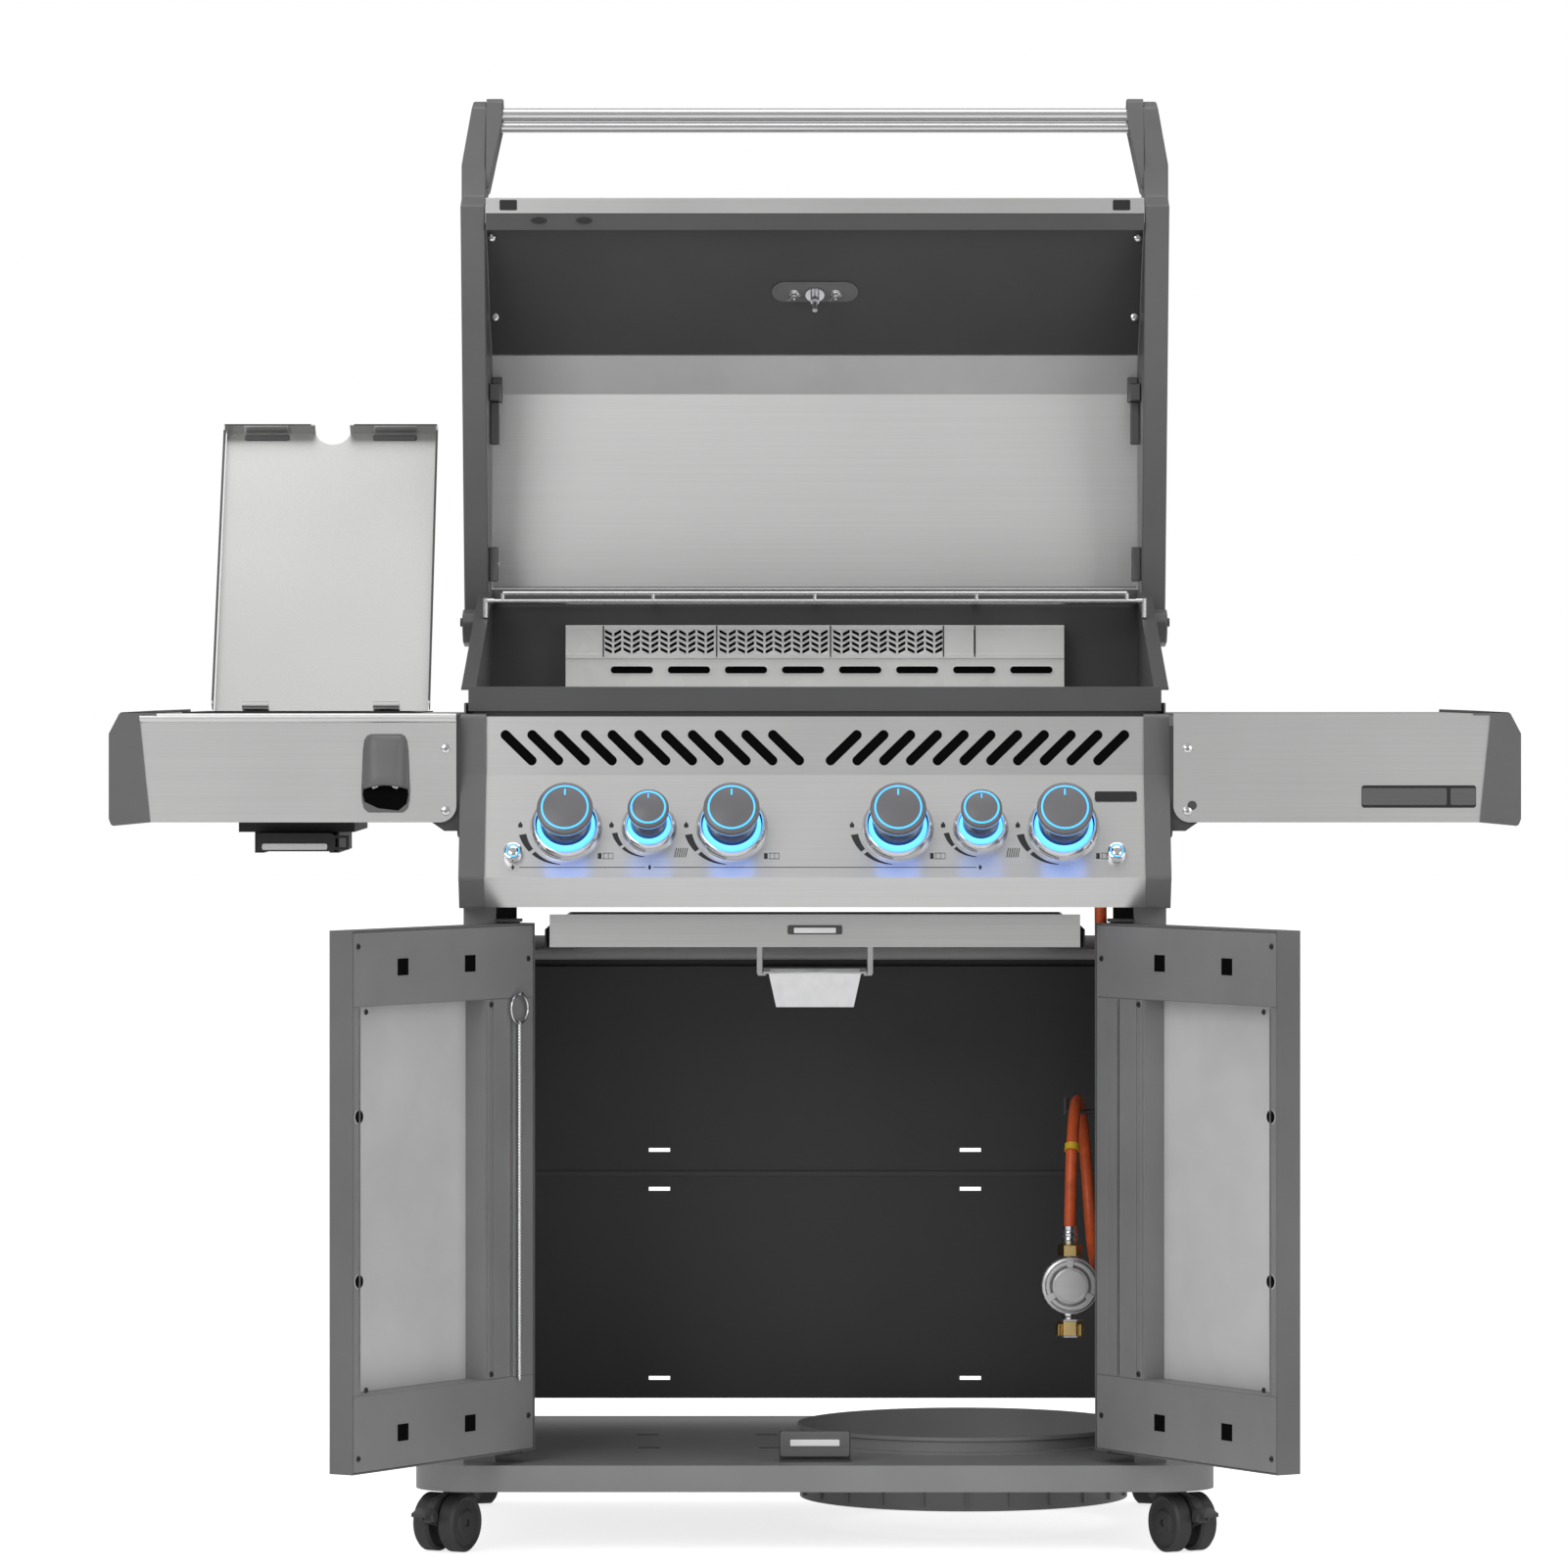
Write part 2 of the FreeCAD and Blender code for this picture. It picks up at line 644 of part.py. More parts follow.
def vent(shift):
    """A leaning, round-ended ventilation slot through the upper band."""
    low_x, low_z = 17.2 + shift, 866.9
    high_x, high_z = 45.9 + shift, 894.8
    half = 5.4
    length = math.hypot(high_x - low_x, high_z - low_z)
    along_x = half * (high_x - low_x) / length
    along_z = half * (high_z - low_z) / length
    outline = [(low_x - along_x - along_z, low_z - along_z + along_x),
               (low_x - along_x + along_z, low_z - along_z - along_x),
               (high_x + along_x + along_z, high_z + along_z - along_x),
               (high_x + along_x - along_z, high_z + along_z + along_x)]
    return prism("XZ", outline, -280, -255, corner=half - 0.1)


def build_panel():
    sheet_metal = prism("YZ", panel_outline(), "-panel_half", "panel_half")
    holes = []
    for step in KNOB_STEPS:
        holes.append(on_panel(doc.addObject("Part::Cylinder", "ShaftHole"), knob_x(step), -15))
        bind(holes[-1], Radius=8, Height=30)
    for x in (-329, 329):
        y, z = button_place()
        holes.append(turned(doc.addObject("Part::Cylinder", "ButtonHole"), V(1, 0, 0),
                            "panel_tilt", x, y + 14, z - 6.5))
        bind(holes[-1], Radius=10.4, Height=30)
    pitch = 29.3
    slots = []
    for i in range(11):
        right = vent(i * pitch)
        slots += [right, mirrored(right)]
    piece("control_panel", cut(sheet_metal, *(holes + slots)))


def build_trims():
    outline = [(-247, 918), (-265, 918), (-272, 851), (-325, 740), (-303, 706), (-247, 706)]
    outer = prism("YZ", outline, "panel_half", "cart_half + 3", corner=6,
                  only=lambda y, z: y < -264)
    hollow = prism("YZ", [(-251, 914), (-262, 914), (-268, 851), (-318, 742), (-300, 710),
                          (-251, 710)], "panel_half - 1", "cart_half")
    back = box(("panel_half", "cart_half + 3"), (-251, -247), (706, 918))
    right = join(cut(outer, hollow), back)
    piece("panel_trims", group(right, mirrored(right)))


def bezel(radius):
    """A turned collar round a knob."""
    bore = radius - 6
    foot = 0.1
    return lathe([(bore, foot), (radius, foot), (radius, 6), (radius - 2, 10), (radius - 4, 11),
                  (bore, 11)])


def knob(cap, skirt):
    """A domed cap on a waisted skirt, with the shaft that enters the valve."""
    tall = 57
    return lathe([(0, -18), (4, -18), (4, 2), (skirt, 2), (skirt, 12), (skirt - 2.5, 24),
                  (cap - 2, 34), (cap, 38), (cap, tall - 8), (cap - 2.5, tall - 3),
                  (cap - 9, tall), (0, tall)])


def build_knobs():
    rings = []
    for index, step in enumerate(KNOB_STEPS, start=1):
        small = abs(step) == 2
        collar = bezel(30 if small else 39)
        rings.append(on_panel(collar, knob_x(step)))
        part = knob(22.5, 23) if small else knob(30.5, 32)
        placed("knob_%d" % index, part, knob_x(step), "knob_y", "knob_z", V(1, 0, 0), "panel_tilt")
    piece("knob_bezels", group(*rings))


def button_place():
    """Where the push buttons stand on the main band."""
    z = 765
    y = -268 - 52 * (851 - z) / 111.0
    return y, z


def build_buttons():
    y, z = button_place()
    for name, x in (("igniter_button", -329), ("light_button", 329)):
        cap = lathe([(0, -12), (10.3, -12), (10.3, 9), (8.6, 11), (0, 11)])
        placed(name, cap, x, "%.4f" % y, z, V(1, 0, 0), "panel_tilt")


# -------------------------------------------------------------------- shelves
def shelf_plain():
    """A flat shelf sheet, up to the strip on the end cap."""
    return box(("shelf_inner", "shelf_outer - 52"), ("shelf_front", "shelf_rear"),
               ("shelf_top - skin", "shelf_top"))


def shelf_sheet():
    """The top of the right shelf, with two stiffening ribs under it."""
    ribs = [box(("shelf_inner + 40", "shelf_outer - 50"), (y, y + 2),
                ("shelf_top - 16", "shelf_top - skin")) for y in (-150, 50)]
    return join(shelf_plain(), *ribs)


def shelf_fascia(y):
    """A front or rear apron whose lower inner corner is round about the pivot."""
    outline = [("shelf_inner", "shelf_low"), ("shelf_outer - 45", "shelf_low"),
               ("shelf_outer - 33", "shelf_top - skin"), ("shelf_inner", "shelf_top - skin")]
    return prism("XZ", outline, y, "%s + skin" % y, corner=18.5,
                 only=lambda x, z: x < 400 and z < 820)


def shelf_endcap():
    """The moulded outer end, leaning outwards towards its foot."""
    outline = [("shelf_outer - 45", "shelf_low"), ("shelf_outer - 3", "shelf_low - 4"),
               ("shelf_outer", "shelf_low + 4"), ("shelf_outer", "shelf_top - 22"),
               ("shelf_outer - 12", "shelf_top + 1"), ("shelf_outer - 52", "shelf_top + 1"),
               ("shelf_outer - 52", "shelf_top - skin"), ("shelf_outer - 33", "shelf_top - skin")]
    outer = prism("XZ", outline, "shelf_front - 3", "shelf_rear + 3", corner=4,
                  only=lambda x, z: x > 755)
    hollow = prism("XZ", [("shelf_outer - 60", "shelf_low - 10"), ("shelf_outer - 7", "shelf_low - 10"),
                          ("shelf_outer - 5", "shelf_top - 24"), ("shelf_outer - 15", "shelf_top - 4"),
                          ("shelf_outer - 30", "shelf_top - 4")],
                   "shelf_front + 3", "shelf_rear - 3")
    return cut(outer, hollow)


def build_right_shelf():
    piece("right_shelf_top", shelf_sheet())
    pivots = [rod("Y", ("fold_x", y, "fold_z"), 8, 5.05) for y in (-293, 185)]
    front = cut(shelf_fascia("shelf_front"), pivots[0])
    rear = cut(shelf_fascia("shelf_rear - skin"), pivots[1])
    piece("right_shelf_fascia", group(front, rear))
    piece("right_shelf_endcap", shelf_endcap())


def build_left_shelf():
    opening = box(("side_x - lid_width / 2 + 1", "side_x + lid_width / 2 - 1"), (-236, 132),
                  (900, 930))
    piece("left_shelf_top", cut(mirrored(shelf_plain()), opening))
    front = mirrored(shelf_fascia("shelf_front"))
    rear = mirrored(shelf_fascia("shelf_rear - skin"))
    piece("left_shelf_fascia", group(front, rear))
    piece("left_shelf_endcap", mirrored(shelf_endcap()))


def build_opener():
    x = -468.7
    low = 810
    high = 896
    face = "shelf_front - 6"
    outline = [(x - 22, high), (x + 22, high), (x + 27, high - 10), (x + 27, high - 40),
               (x + 16, low + 6), (x + 10, low), (x - 10, low), (x - 16, low + 6),
               (x - 27, high - 40), (x - 27, high - 10)]
    plate = prism("XZ", outline, face, "shelf_front", corner=2)
    mouth = box((x - 11, x + 11), ("shelf_front - 8", "shelf_front - 2"), (low + 12, low + 34))
    tongue = box((x - 5, x + 5), ("shelf_front - 14", "shelf_front - 5"), (low + 36, low + 41))
    crown = box((x - 15, x + 15), ("shelf_front - 14", "shelf_front - 5"), (low + 41, low + 46))
    piece("bottle_opener", join(cut(plate, mouth), tongue, crown))


# ---------------------------------------------------------------- side burner
def build_side_burner():
    wide = "lid_width / 2"
    left = "side_x - %s + 3" % wide
    right = "side_x + %s - 3" % wide
    rim = box(("side_x - %s - 4" % wide, "side_x + %s + 4" % wide), (-241, 133),
              ("shelf_top", "shelf_top + 1.5"))
    tub = box((left, right), (-233, 128), (842, "shelf_top + 1"))
    hollow = box((left + " + 1.5", right + " - 1.5"), (-231.5, 126.5), (843.5, 940))
    sump = box(("side_sump_x - 64", "side_sump_x + 64"), (-180, 80), (787, 843))
    sump_hollow = box(("side_sump_x - 62", "side_sump_x + 62"), (-178, 78), (789, 850))
    drain = box(("side_sump_x - 30", "side_sump_x + 30"), (-120, 20), (780, 795))
    hangers = []
    for side in (-1, 1):
        a = side * 44
        b = side * 46.5
        lip = side * 36
        hangers.append(box(("side_sump_x + %.1f" % min(a, b), "side_sump_x + %.1f" % max(a, b)),
                           (-175, 75), (764, 787.5)))
        hangers.append(box(("side_sump_x + %.1f" % min(lip, b), "side_sump_x + %.1f" % max(lip, b)),
                           (-175, 75), (764, 766)))
    piece("side_burner_pan", cut(join(rim, tub, sump, *hangers), hollow, sump_hollow, drain))
    head = lathe([(0, 50), (46, 50), (52, 44), (52, 40), (20, 34), (20, 0), (0, 0)])
    placed("side_burner_head", head, "side_x", -52, 843.5)
    build_side_grate()
    build_side_tray()
    build_side_lid()


def build_side_grate():
    top = 914
    ring = cut(rod("Z", ("side_x", -52, top - 8), 8, 100), rod("Z", ("side_x", -52, top - 9), 10, 93))
    frame = cut(box(("side_x - 119.5", "side_x + 119.5"), (-230, 125), (top - 8, top)),
                box(("side_x - 112", "side_x + 112"), (-222, 117), (top - 9, top + 1)))
    bars = []
    for i in range(7):
        x = -90 + 30 * i
        bars.append(box(("side_x + %d" % (x - 3), "side_x + %d" % (x + 3)), (-225, 120), (top - 8, top)))
    cross = [box(("side_x - 116", "side_x + 116"), (y, y + 6), (top - 8, top - 2)) for y in (-150, 45)]
    legs = []
    for x in (-116, 116):
        for y in (-226, 121):
            legs.append(box(("side_x + %d" % (x - 3.5), "side_x + %d" % (x + 3.5)), (y - 3, y + 3),
                            (843.5, top - 4)))
    piece("side_burner_grate", join(frame, ring, *(bars + cross + legs)))


def build_side_tray():
    half = 41.5
    pan = cut(box(("side_sump_x - %.1f" % half, "side_sump_x + %.1f" % half), (-214, 70), (766.3, 785)),
              box(("side_sump_x - %.1f" % (half - 2), "side_sump_x + %.1f" % (half - 2)), (-211, 68),
                  (768.3, 790)))
    grip = box(("side_sump_x + %.1f" % (half - 1), "side_sump_x + %.1f" % (half + 18)), (-214, -212),
               (768, 784))
    grip_hole = box(("side_sump_x + %.1f" % (half + 3), "side_sump_x + %.1f" % (half + 15)),
                    (-216, -210), (771, 781))
    piece("side_drip_tray", cut(join(pan, grip), grip_hole))


def build_side_lid():
    left = "side_x - lid_width / 2"
    right = "side_x + lid_width / 2"
    low = 921
    high = 940
    outer = prism("XZ", rectangle((left, right), (low, high)), "lid_front", "lid_hinge_y",
                  corner=7, only=lambda x, z: z > 930)
    hollow = box((left + " + 1.5", right + " - 1.5"), ("lid_front + 1.5", "lid_hinge_y + 1"),
                 (low - 1, high - 1.5))
    notch = rod("Z", ("side_x + 2", "lid_front - 4", low - 1), high - low + 2, 21)
    knuckle_x = ("side_x - 90", "side_x + 60")
    knuckles = [rod("X", (x, "lid_hinge_y", "lid_hinge_z"), 30, 4.5) for x in knuckle_x]
    webs = [box((x, x + " + 30"), ("lid_hinge_y - 3", "lid_hinge_y"), ("lid_hinge_z", high - 1))
            for x in knuckle_x]
    bores = [rod("X", (x + " - 1", "lid_hinge_y", "lid_hinge_z"), 32, 2.05) for x in knuckle_x]
    lid = cut(join(cut(outer, hollow, notch), *(knuckles + webs)), *bores)
    swung("side_burner_lid", lid, V(-1, 0, 0), "lid_open", ("lid_hinge_y", "lid_hinge_z"))


# ----------------------------------------------------------------- drip tray
def build_drip_tray():
    front = box(("-tray_half", "tray_half"), ("tray_face", "tray_face + 2"), ("tray_low", "tray_high"))
    inner = "tray_half - 8"
    pan = box(("-(%s)" % inner, inner), ("tray_face + 1", 205), ("tray_low", "tray_low + 26"))
    hollow = box(("-(%s) + 2" % inner, inner + " - 2"), ("tray_face + 3", 203),
                 ("tray_low + 2", "tray_low + 40"))
    drain = rod("Z", (0, 0, "tray_low - 3"), 10, 24)
    magnet = box((-30, 30), ("tray_face - 2.5", "tray_face"), (675, 686))
    rims = [box((side * 62 - 3, side * 62 + 3), (-62, 62), ("tray_low - 36", "tray_low"))
            for side in (-1, 1)]
    lips = [box((min(side * 55, side * 64), max(side * 55, side * 64)), (-62, 62),
                ("tray_low - 38", "tray_low - 36")) for side in (-1, 1)]
    piece("drip_tray", join(cut(join(front, pan), hollow, drain), magnet, *(rims + lips)))
    outside = tapered(43.5, 52, 588, 627)
    inside = tapered(42.7, 51.2, 588.8, 627.8)
    rim = box((-58, 58), (-58, 58), (626, 628))
    brim = cut(rim, box((-50.5, 50.5), (-50.5, 50.5), (625, 629)))
    placed("grease_cup", cut(join(outside, brim), inside), 0, 0, 0)


def tapered(half_low, half_high, low, high):
    """A square block, centred on the Z axis, that widens upwards."""
    block = doc.addObject("Part::Wedge", "Tapered")
    block.Placement = FreeCAD.Placement(V(), FreeCAD.Rotation(V(1, 0, 0), 90))
    bind(block, Ymin=low, Ymax=high, Xmin=-half_low, Xmax=half_low, Zmin=-half_low, Zmax=half_low)
    bind(block, X2min=-half_high, X2max=half_high, Z2min=-half_high, Z2max=half_high)
    return block


# ----------------------------------------------------------------------- hood
HANDLE_BARS = ((-359, "bar_radius"), (-344.5, "bar_radius - 1.4"))
HOOD_OUTER = [(-250, 955), (-87, 1138), (-42, 1168), (186, 1168), (222, 1146), (240, 1110),
              (250, 1066)]


def hood_section():
    """The bent sheet seen from the side, a lip at the front and a turned rear edge."""
    inside = [(248, 1066), (238.1, 1109.3), (220.5, 1144.6), (185.4, 1166), (-41.4, 1166),
              (-85.7, 1136.5), (-237.5, 966), (-230, 958), (-230, 955)]
    return HOOD_OUTER + inside


def build_hood():
    shell = prism("YZ", hood_section(), "-hood_half + 0.5", "hood_half - 0.5")
    probe_hole = thermometer_rod(5.2, -20, 30)
    swing_hood("hood_shell", cut(shell, probe_hole))
    build_hood_caps()
    bars = [rod("X", (-362, y, 1024), 724, radius) for y, radius in HANDLE_BARS]
    swing_hood("hood_handle", group(*bars))
    build_thermometer()


def swing_hood(name, thing):
    swung(name, thing, V(-1, 0, 0), "hood_open", ("hood_hinge_y", "hood_hinge_z"))


def build_hood_caps():
    side = [(-250, 953), (-262, 985), (-300, 1003), (-352, 1004), (-374, 1012), (-378, 1026),
            (-367, 1040), (-340, 1046), (-290, 1050), (-236, 1072), (-180, 1092), (-110, 1142),
            (-66, 1172), (-22, 1178), (188, 1174), (230, 1150), (248, 1112), (256, 1050),
            (250, 1014), (236, 1002), (220, 1004), (213, 1020), (218, 1036), (225, 1046),
            (225, 1064)]
    outer = prism("YZ", side, "hood_half", "hood_half + hood_cap")
    relief = prism("YZ", [(-228, 968), (-100, 1118), (-50, 1150), (180, 1150), (214, 1130),
                          (222, 1085), (200, 1070), (-215, 972)], "hood_half - 1", "hood_half + 20")
    bracket = prism("YZ", [(-272, 998), (-352, 1004), (-374, 1012), (-378, 1026), (-367, 1040),
                           (-340, 1046), (-290, 1050), (-268, 1058)], "hood_half - 19", "hood_half")
    slimmer = prism("XY", [("hood_half + 15", -380), ("hood_half + hood_cap", -306),
                           ("hood_half + hood_cap + 2", -306), ("hood_half + hood_cap + 2", -380)],
                    960, 1090)
    sockets = [rod("X", ("hood_half - 20", y, 1024), 3, radius) for y, radius in HANDLE_BARS]
    bore = rod("X", ("hood_half - 1", "hood_hinge_y", "hood_hinge_z"), "hood_cap + 2", 5.05)
    right = cut(join(outer, bracket), relief, slimmer, bore, *sockets)
    swing_hood("hood_caps", group(right, mirrored(right)))


def thermometer_rod(radius, low, tall):
    """A cylinder square to the hood's sloping front, through its middle."""
    shaft = doc.addObject("Part::Cylinder", "Probe")
    bind(shaft, Radius=radius, Height=tall)
    foot_y, foot_z = HOOD_OUTER[0]
    head_y, head_z = HOOD_OUTER[1]
    share = 0.56
    lean = math.atan2(head_z - foot_z, head_y - foot_y)
    y = foot_y + share * (head_y - foot_y) - low * math.sin(lean)
    z = foot_z + share * (head_z - foot_z) + low * math.cos(lean)
    return turned(shaft, V(1, 0, 0), "%.4f" % math.degrees(lean), 0, "%.4f" % y, "%.4f" % z)


def build_thermometer():
    dial = thermometer_rod(38, 0.3, 11)
    face = thermometer_rod(33, 9.3, 5)
    stem = thermometer_rod(5.1, -20, 22)
    probe = thermometer_rod(3, -34, 16)
    nut = thermometer_rod(11, -9.5, 6.5)
    swing_hood("thermometer", join(cut(dial, face), stem, probe, nut))


# ---------------------------------------------------------------------- doors
def door_skin():
    """A pressed outer pan for the right door, shut, with its bar handle."""
    free = "pin_x + 20 - door_width"
    outer = prism("XY", rectangle((free, "pin_x + 20"), ("door_face", "door_face + door_thick")),
                  "door_low", "door_high", corner=17, only=lambda x, y: x > 300 and y < -270)
    hollow = prism("XY", rectangle((free + " + 1.5", "pin_x + 18.5"),
                                   ("door_face + 1.5", "door_face + door_thick + 2")),
                   "door_low + 1.5", "door_high - 1.5", corner=15.5,
                   only=lambda x, y: x > 300 and y < -270)
    pins = rod("Z", ("pin_x", "pin_y", "door_low - 5"), "door_high - door_low + 10", 4.05)
    grip = rod("Z", (72, "door_face - 32", 278), 250, 7)
    arms = [rod("Y", (72, "door_face - 32", z), 32, 5.5) for z in (316, 491)]
    return group(cut(outer, hollow, pins), join(grip, *arms))


def door_frame():
    """The inner pan: two rails, a hinge channel and a recess between them."""
    free = "pin_x + 20 - door_width"
    back = "door_face + door_thick - 1.5"
    plate = box((free + " + 1.7", "pin_x + 18.3"), (back + " - 1.5", back),
                ("door_low + 1.7", "door_high - 1.7"))
    well = cut(box((14, 255), ("door_face + 1.5", back), (193, 609)),
               box((15.5, 253.5), ("door_face", back + " + 1"), (194.5, 607.5)))
    window = box((15.5, 253.5), (back + " - 5", back + " + 5"), (194.5, 607.5))
    holes = []
    for x in (95, 222):
        for z in (150, 648):
            holes.append(box((x - 9, x + 9), (back + " - 5", back + " + 5"), (z - 9, z + 9)))
    notches = [rod("Y", (15, "door_face + 10", z), 30, 8) for z in (316, 491)]
    groove = box((300, 304), (back + " - 5", back + " + 5"), (200, 600))
    return cut(join(cut(plate, window), well), groove, *(holes + notches))


def build_doors():
    for side, sign in (("left", -1), ("right", 1)):
        pivot = ("%d * pin_x" % sign, "pin_y")
        for name, made in (("skin", door_skin()), ("frame", door_frame())):
            thing = made if sign > 0 else mirrored(made)
            swung("%s_door_%s" % (side, name), thing, V(0, 0, sign), "door_open", pivot)
    build_match_holder()


def build_match_holder():
    """A ring and a long rod that hang inside the left door."""
    x = -312
    y = "door_face + door_thick + 3.5"
    hook = rod("Y", (x, "door_face + door_thick - 1.5", 612), 9, 2)
    ring = doc.addObject("Part::Torus", "Ring")
    bind(ring, Radius1=16, Radius2=1.5)
    turned(ring, V(1, 0, 0), 90, x, y, 596)
    stick = rod("Z", (x, y, 190), 392, 1.6)
    thing = join(hook, ring, stick)
    swung("match_holder", thing, V(0, 0, -1), "door_open", ("-1 * pin_x", "pin_y"))


def build_pins():
    """Fixed pins and the ears that carry them, for the doors, hood, shelf and lid."""
    pins = []
    for low, pin_low in (("door_high + 1.5", "door_high - 14"), ("door_low - 4.5", "door_low - 4.5")):
        ear = box(("pin_x - 6", "cart_half - post_width"), ("pin_y - 8", "cart_front + 22"),
                  (low, low + " + 3"))
        length = "18.5"
        pin = rod("Z", ("pin_x", "pin_y", pin_low), length, 4)
        right = join(ear, pin)
        pins += [right, mirrored(right)]
    hood = rod("X", ("box_half + 2", "hood_hinge_y", "hood_hinge_z"), "hood_cap + 5", 5)
    pins += [hood, mirrored(hood)]
    for y, start in ((-284, -291), (184, 181)):
        pins.append(rod("Y", ("fold_x", start, "fold_z"), 10, 5))
    piece("hinge_pins", group(*pins))


# ------------------------------------------------------------------------ gas
HOSE_ROUTE = [(313, -258.5, 753), (313, -258.5, 728), (314, -236, 690), (315, -231, 608),
              (318, -206, 522), (320, -150, 452), (322, -98, 384), (322, -46, 318),
              (320, 26, 284), (316, 96, 308), (312, 128, 378), (306, 108, 450), (298, 44, 486),
              (291, -22, 462), (287, -54, 400), (286, -55, 343)]


def build_hose():
    path = smooth_path(HOSE_ROUTE)
    first = V(*HOSE_ROUTE[1]) - V(*HOSE_ROUTE[0])
    hose = tube(path, HOSE_ROUTE[0], first, "hose_radius")
    piece("gas_hose", hose)
    print("hose length", round(path.Length, 1))
    return path


def build_regulator():
    x, y, z = "regulator_x", "regulator_y", "regulator_z"
    disc = rod("Y", (x, y + " - 15", z), 30, 31.5)
    cap = rod("Y", (x, y + " - 19", z), 38, 20)
    ferrule = rod("Z", (x, y, z + " + 40"), 26, 9)
    nipple = rod("Z", (x, y, z + " + 25"), 20, 6)
    nut = prism("XY", hexagon(13.5), z + " + 33", z + " + 45")
    outlet = rod("Z", (x, y, z + " - 60"), 35, 7)
    swivel = prism("XY", hexagon(15), z + " - 58", z + " - 38")
    thread = rod("Z", (x, y, z + " - 61"), 20, 10.9)
    wheel = rod("Y", (x, y + " + 15", z), 12, 12)
    body = join(disc, cap, ferrule, nipple, nut, cut(join(outlet, swivel), thread), wheel)
    piece("gas_regulator", body)


def hexagon(radius):
    """The corners of a nut on the regulator's axis."""
    corners = []
    for k in range(6):
        turn = math.radians(60 * k)
        corners.append(("regulator_x + %.4f" % (radius * math.cos(turn)),
                        "regulator_y + %.4f" % (radius * math.sin(turn))))
    return corners


# ---------------------------------------------------------------------- build
build_base()
build_collar()
build_casters()
build_side_panels()
build_back_panels()
build_brackets()
build_firebox()
build_burners()
build_grids()
build_warming_rack()
build_rear_burner()
build_manifold()
build_panel()
build_trims()
build_knobs()
build_buttons()
build_right_shelf()
build_left_shelf()
build_opener()
build_side_burner()
build_drip_tray()
build_hood()
build_doors()
build_pins()
build_hose()
build_regulator()
doc.recompute()

os.makedirs("parts", exist_ok=True)
faults = [o.Name for o in doc.Objects if "Invalid" in o.State or "Error" in o.State]
print("objects", len(doc.Objects), "faults", faults)
whole = FreeCAD.BoundBox()
for thing in PIECES:
    shape = thing.Shape
    if not shape.isValid() or not shape.Solids:
        raise RuntimeError("bad shape in " + thing.Label)
    whole.add(shape.BoundBox)
    shape.exportStep("parts/%s.step" % thing.Label)
    print("%-24s solids %d faces %d volume %.0f" % (thing.Label, len(shape.Solids),
                                                    len(shape.Faces), shape.Volume))
print(len(PIECES), "pieces", whole)
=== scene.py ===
import math

import bmesh
import bpy
from mathutils import Matrix, Vector


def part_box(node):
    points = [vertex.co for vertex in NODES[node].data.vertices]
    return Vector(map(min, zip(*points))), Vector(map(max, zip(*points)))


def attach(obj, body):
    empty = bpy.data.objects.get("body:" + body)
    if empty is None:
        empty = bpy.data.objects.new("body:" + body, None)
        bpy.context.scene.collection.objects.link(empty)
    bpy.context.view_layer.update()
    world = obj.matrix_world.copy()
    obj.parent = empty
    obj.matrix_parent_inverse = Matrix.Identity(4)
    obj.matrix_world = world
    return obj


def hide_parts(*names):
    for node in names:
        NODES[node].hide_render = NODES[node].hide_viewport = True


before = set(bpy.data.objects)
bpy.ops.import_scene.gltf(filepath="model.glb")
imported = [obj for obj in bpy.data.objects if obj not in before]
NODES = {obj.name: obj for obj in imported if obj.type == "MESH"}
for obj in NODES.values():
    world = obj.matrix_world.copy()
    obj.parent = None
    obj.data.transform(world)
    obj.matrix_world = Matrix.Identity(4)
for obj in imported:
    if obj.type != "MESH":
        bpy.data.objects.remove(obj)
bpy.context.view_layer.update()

MM = 0.001
BASE_LOW, BASE_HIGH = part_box("base_tray")
BACK = (BASE_LOW.y + BASE_HIGH.y) / 2          # the cart's middle, in the frame
TILT = math.radians(65)                        # control panel's main band


def at(x, y, z):
    """A place in millimetres from the cart's middle, as a place in the frame."""
    return Vector((x * MM, y * MM + BACK, z * MM))


# ------------------------------------------------------------------- camera
def make_camera():
    data = bpy.data.cameras.new("camera")
    data.sensor_width = 36
    data.lens = 185
    data.shift_x = -0.0197
    data.shift_y = -0.0628
    data.clip_end = 60
    camera = bpy.data.objects.new("camera", data)
    bpy.context.scene.collection.objects.link(camera)
    camera.location = at(0, -9090, 949)
    camera.rotation_euler = (math.radians(90), 0, 0)
    bpy.context.scene.camera = camera


make_camera()


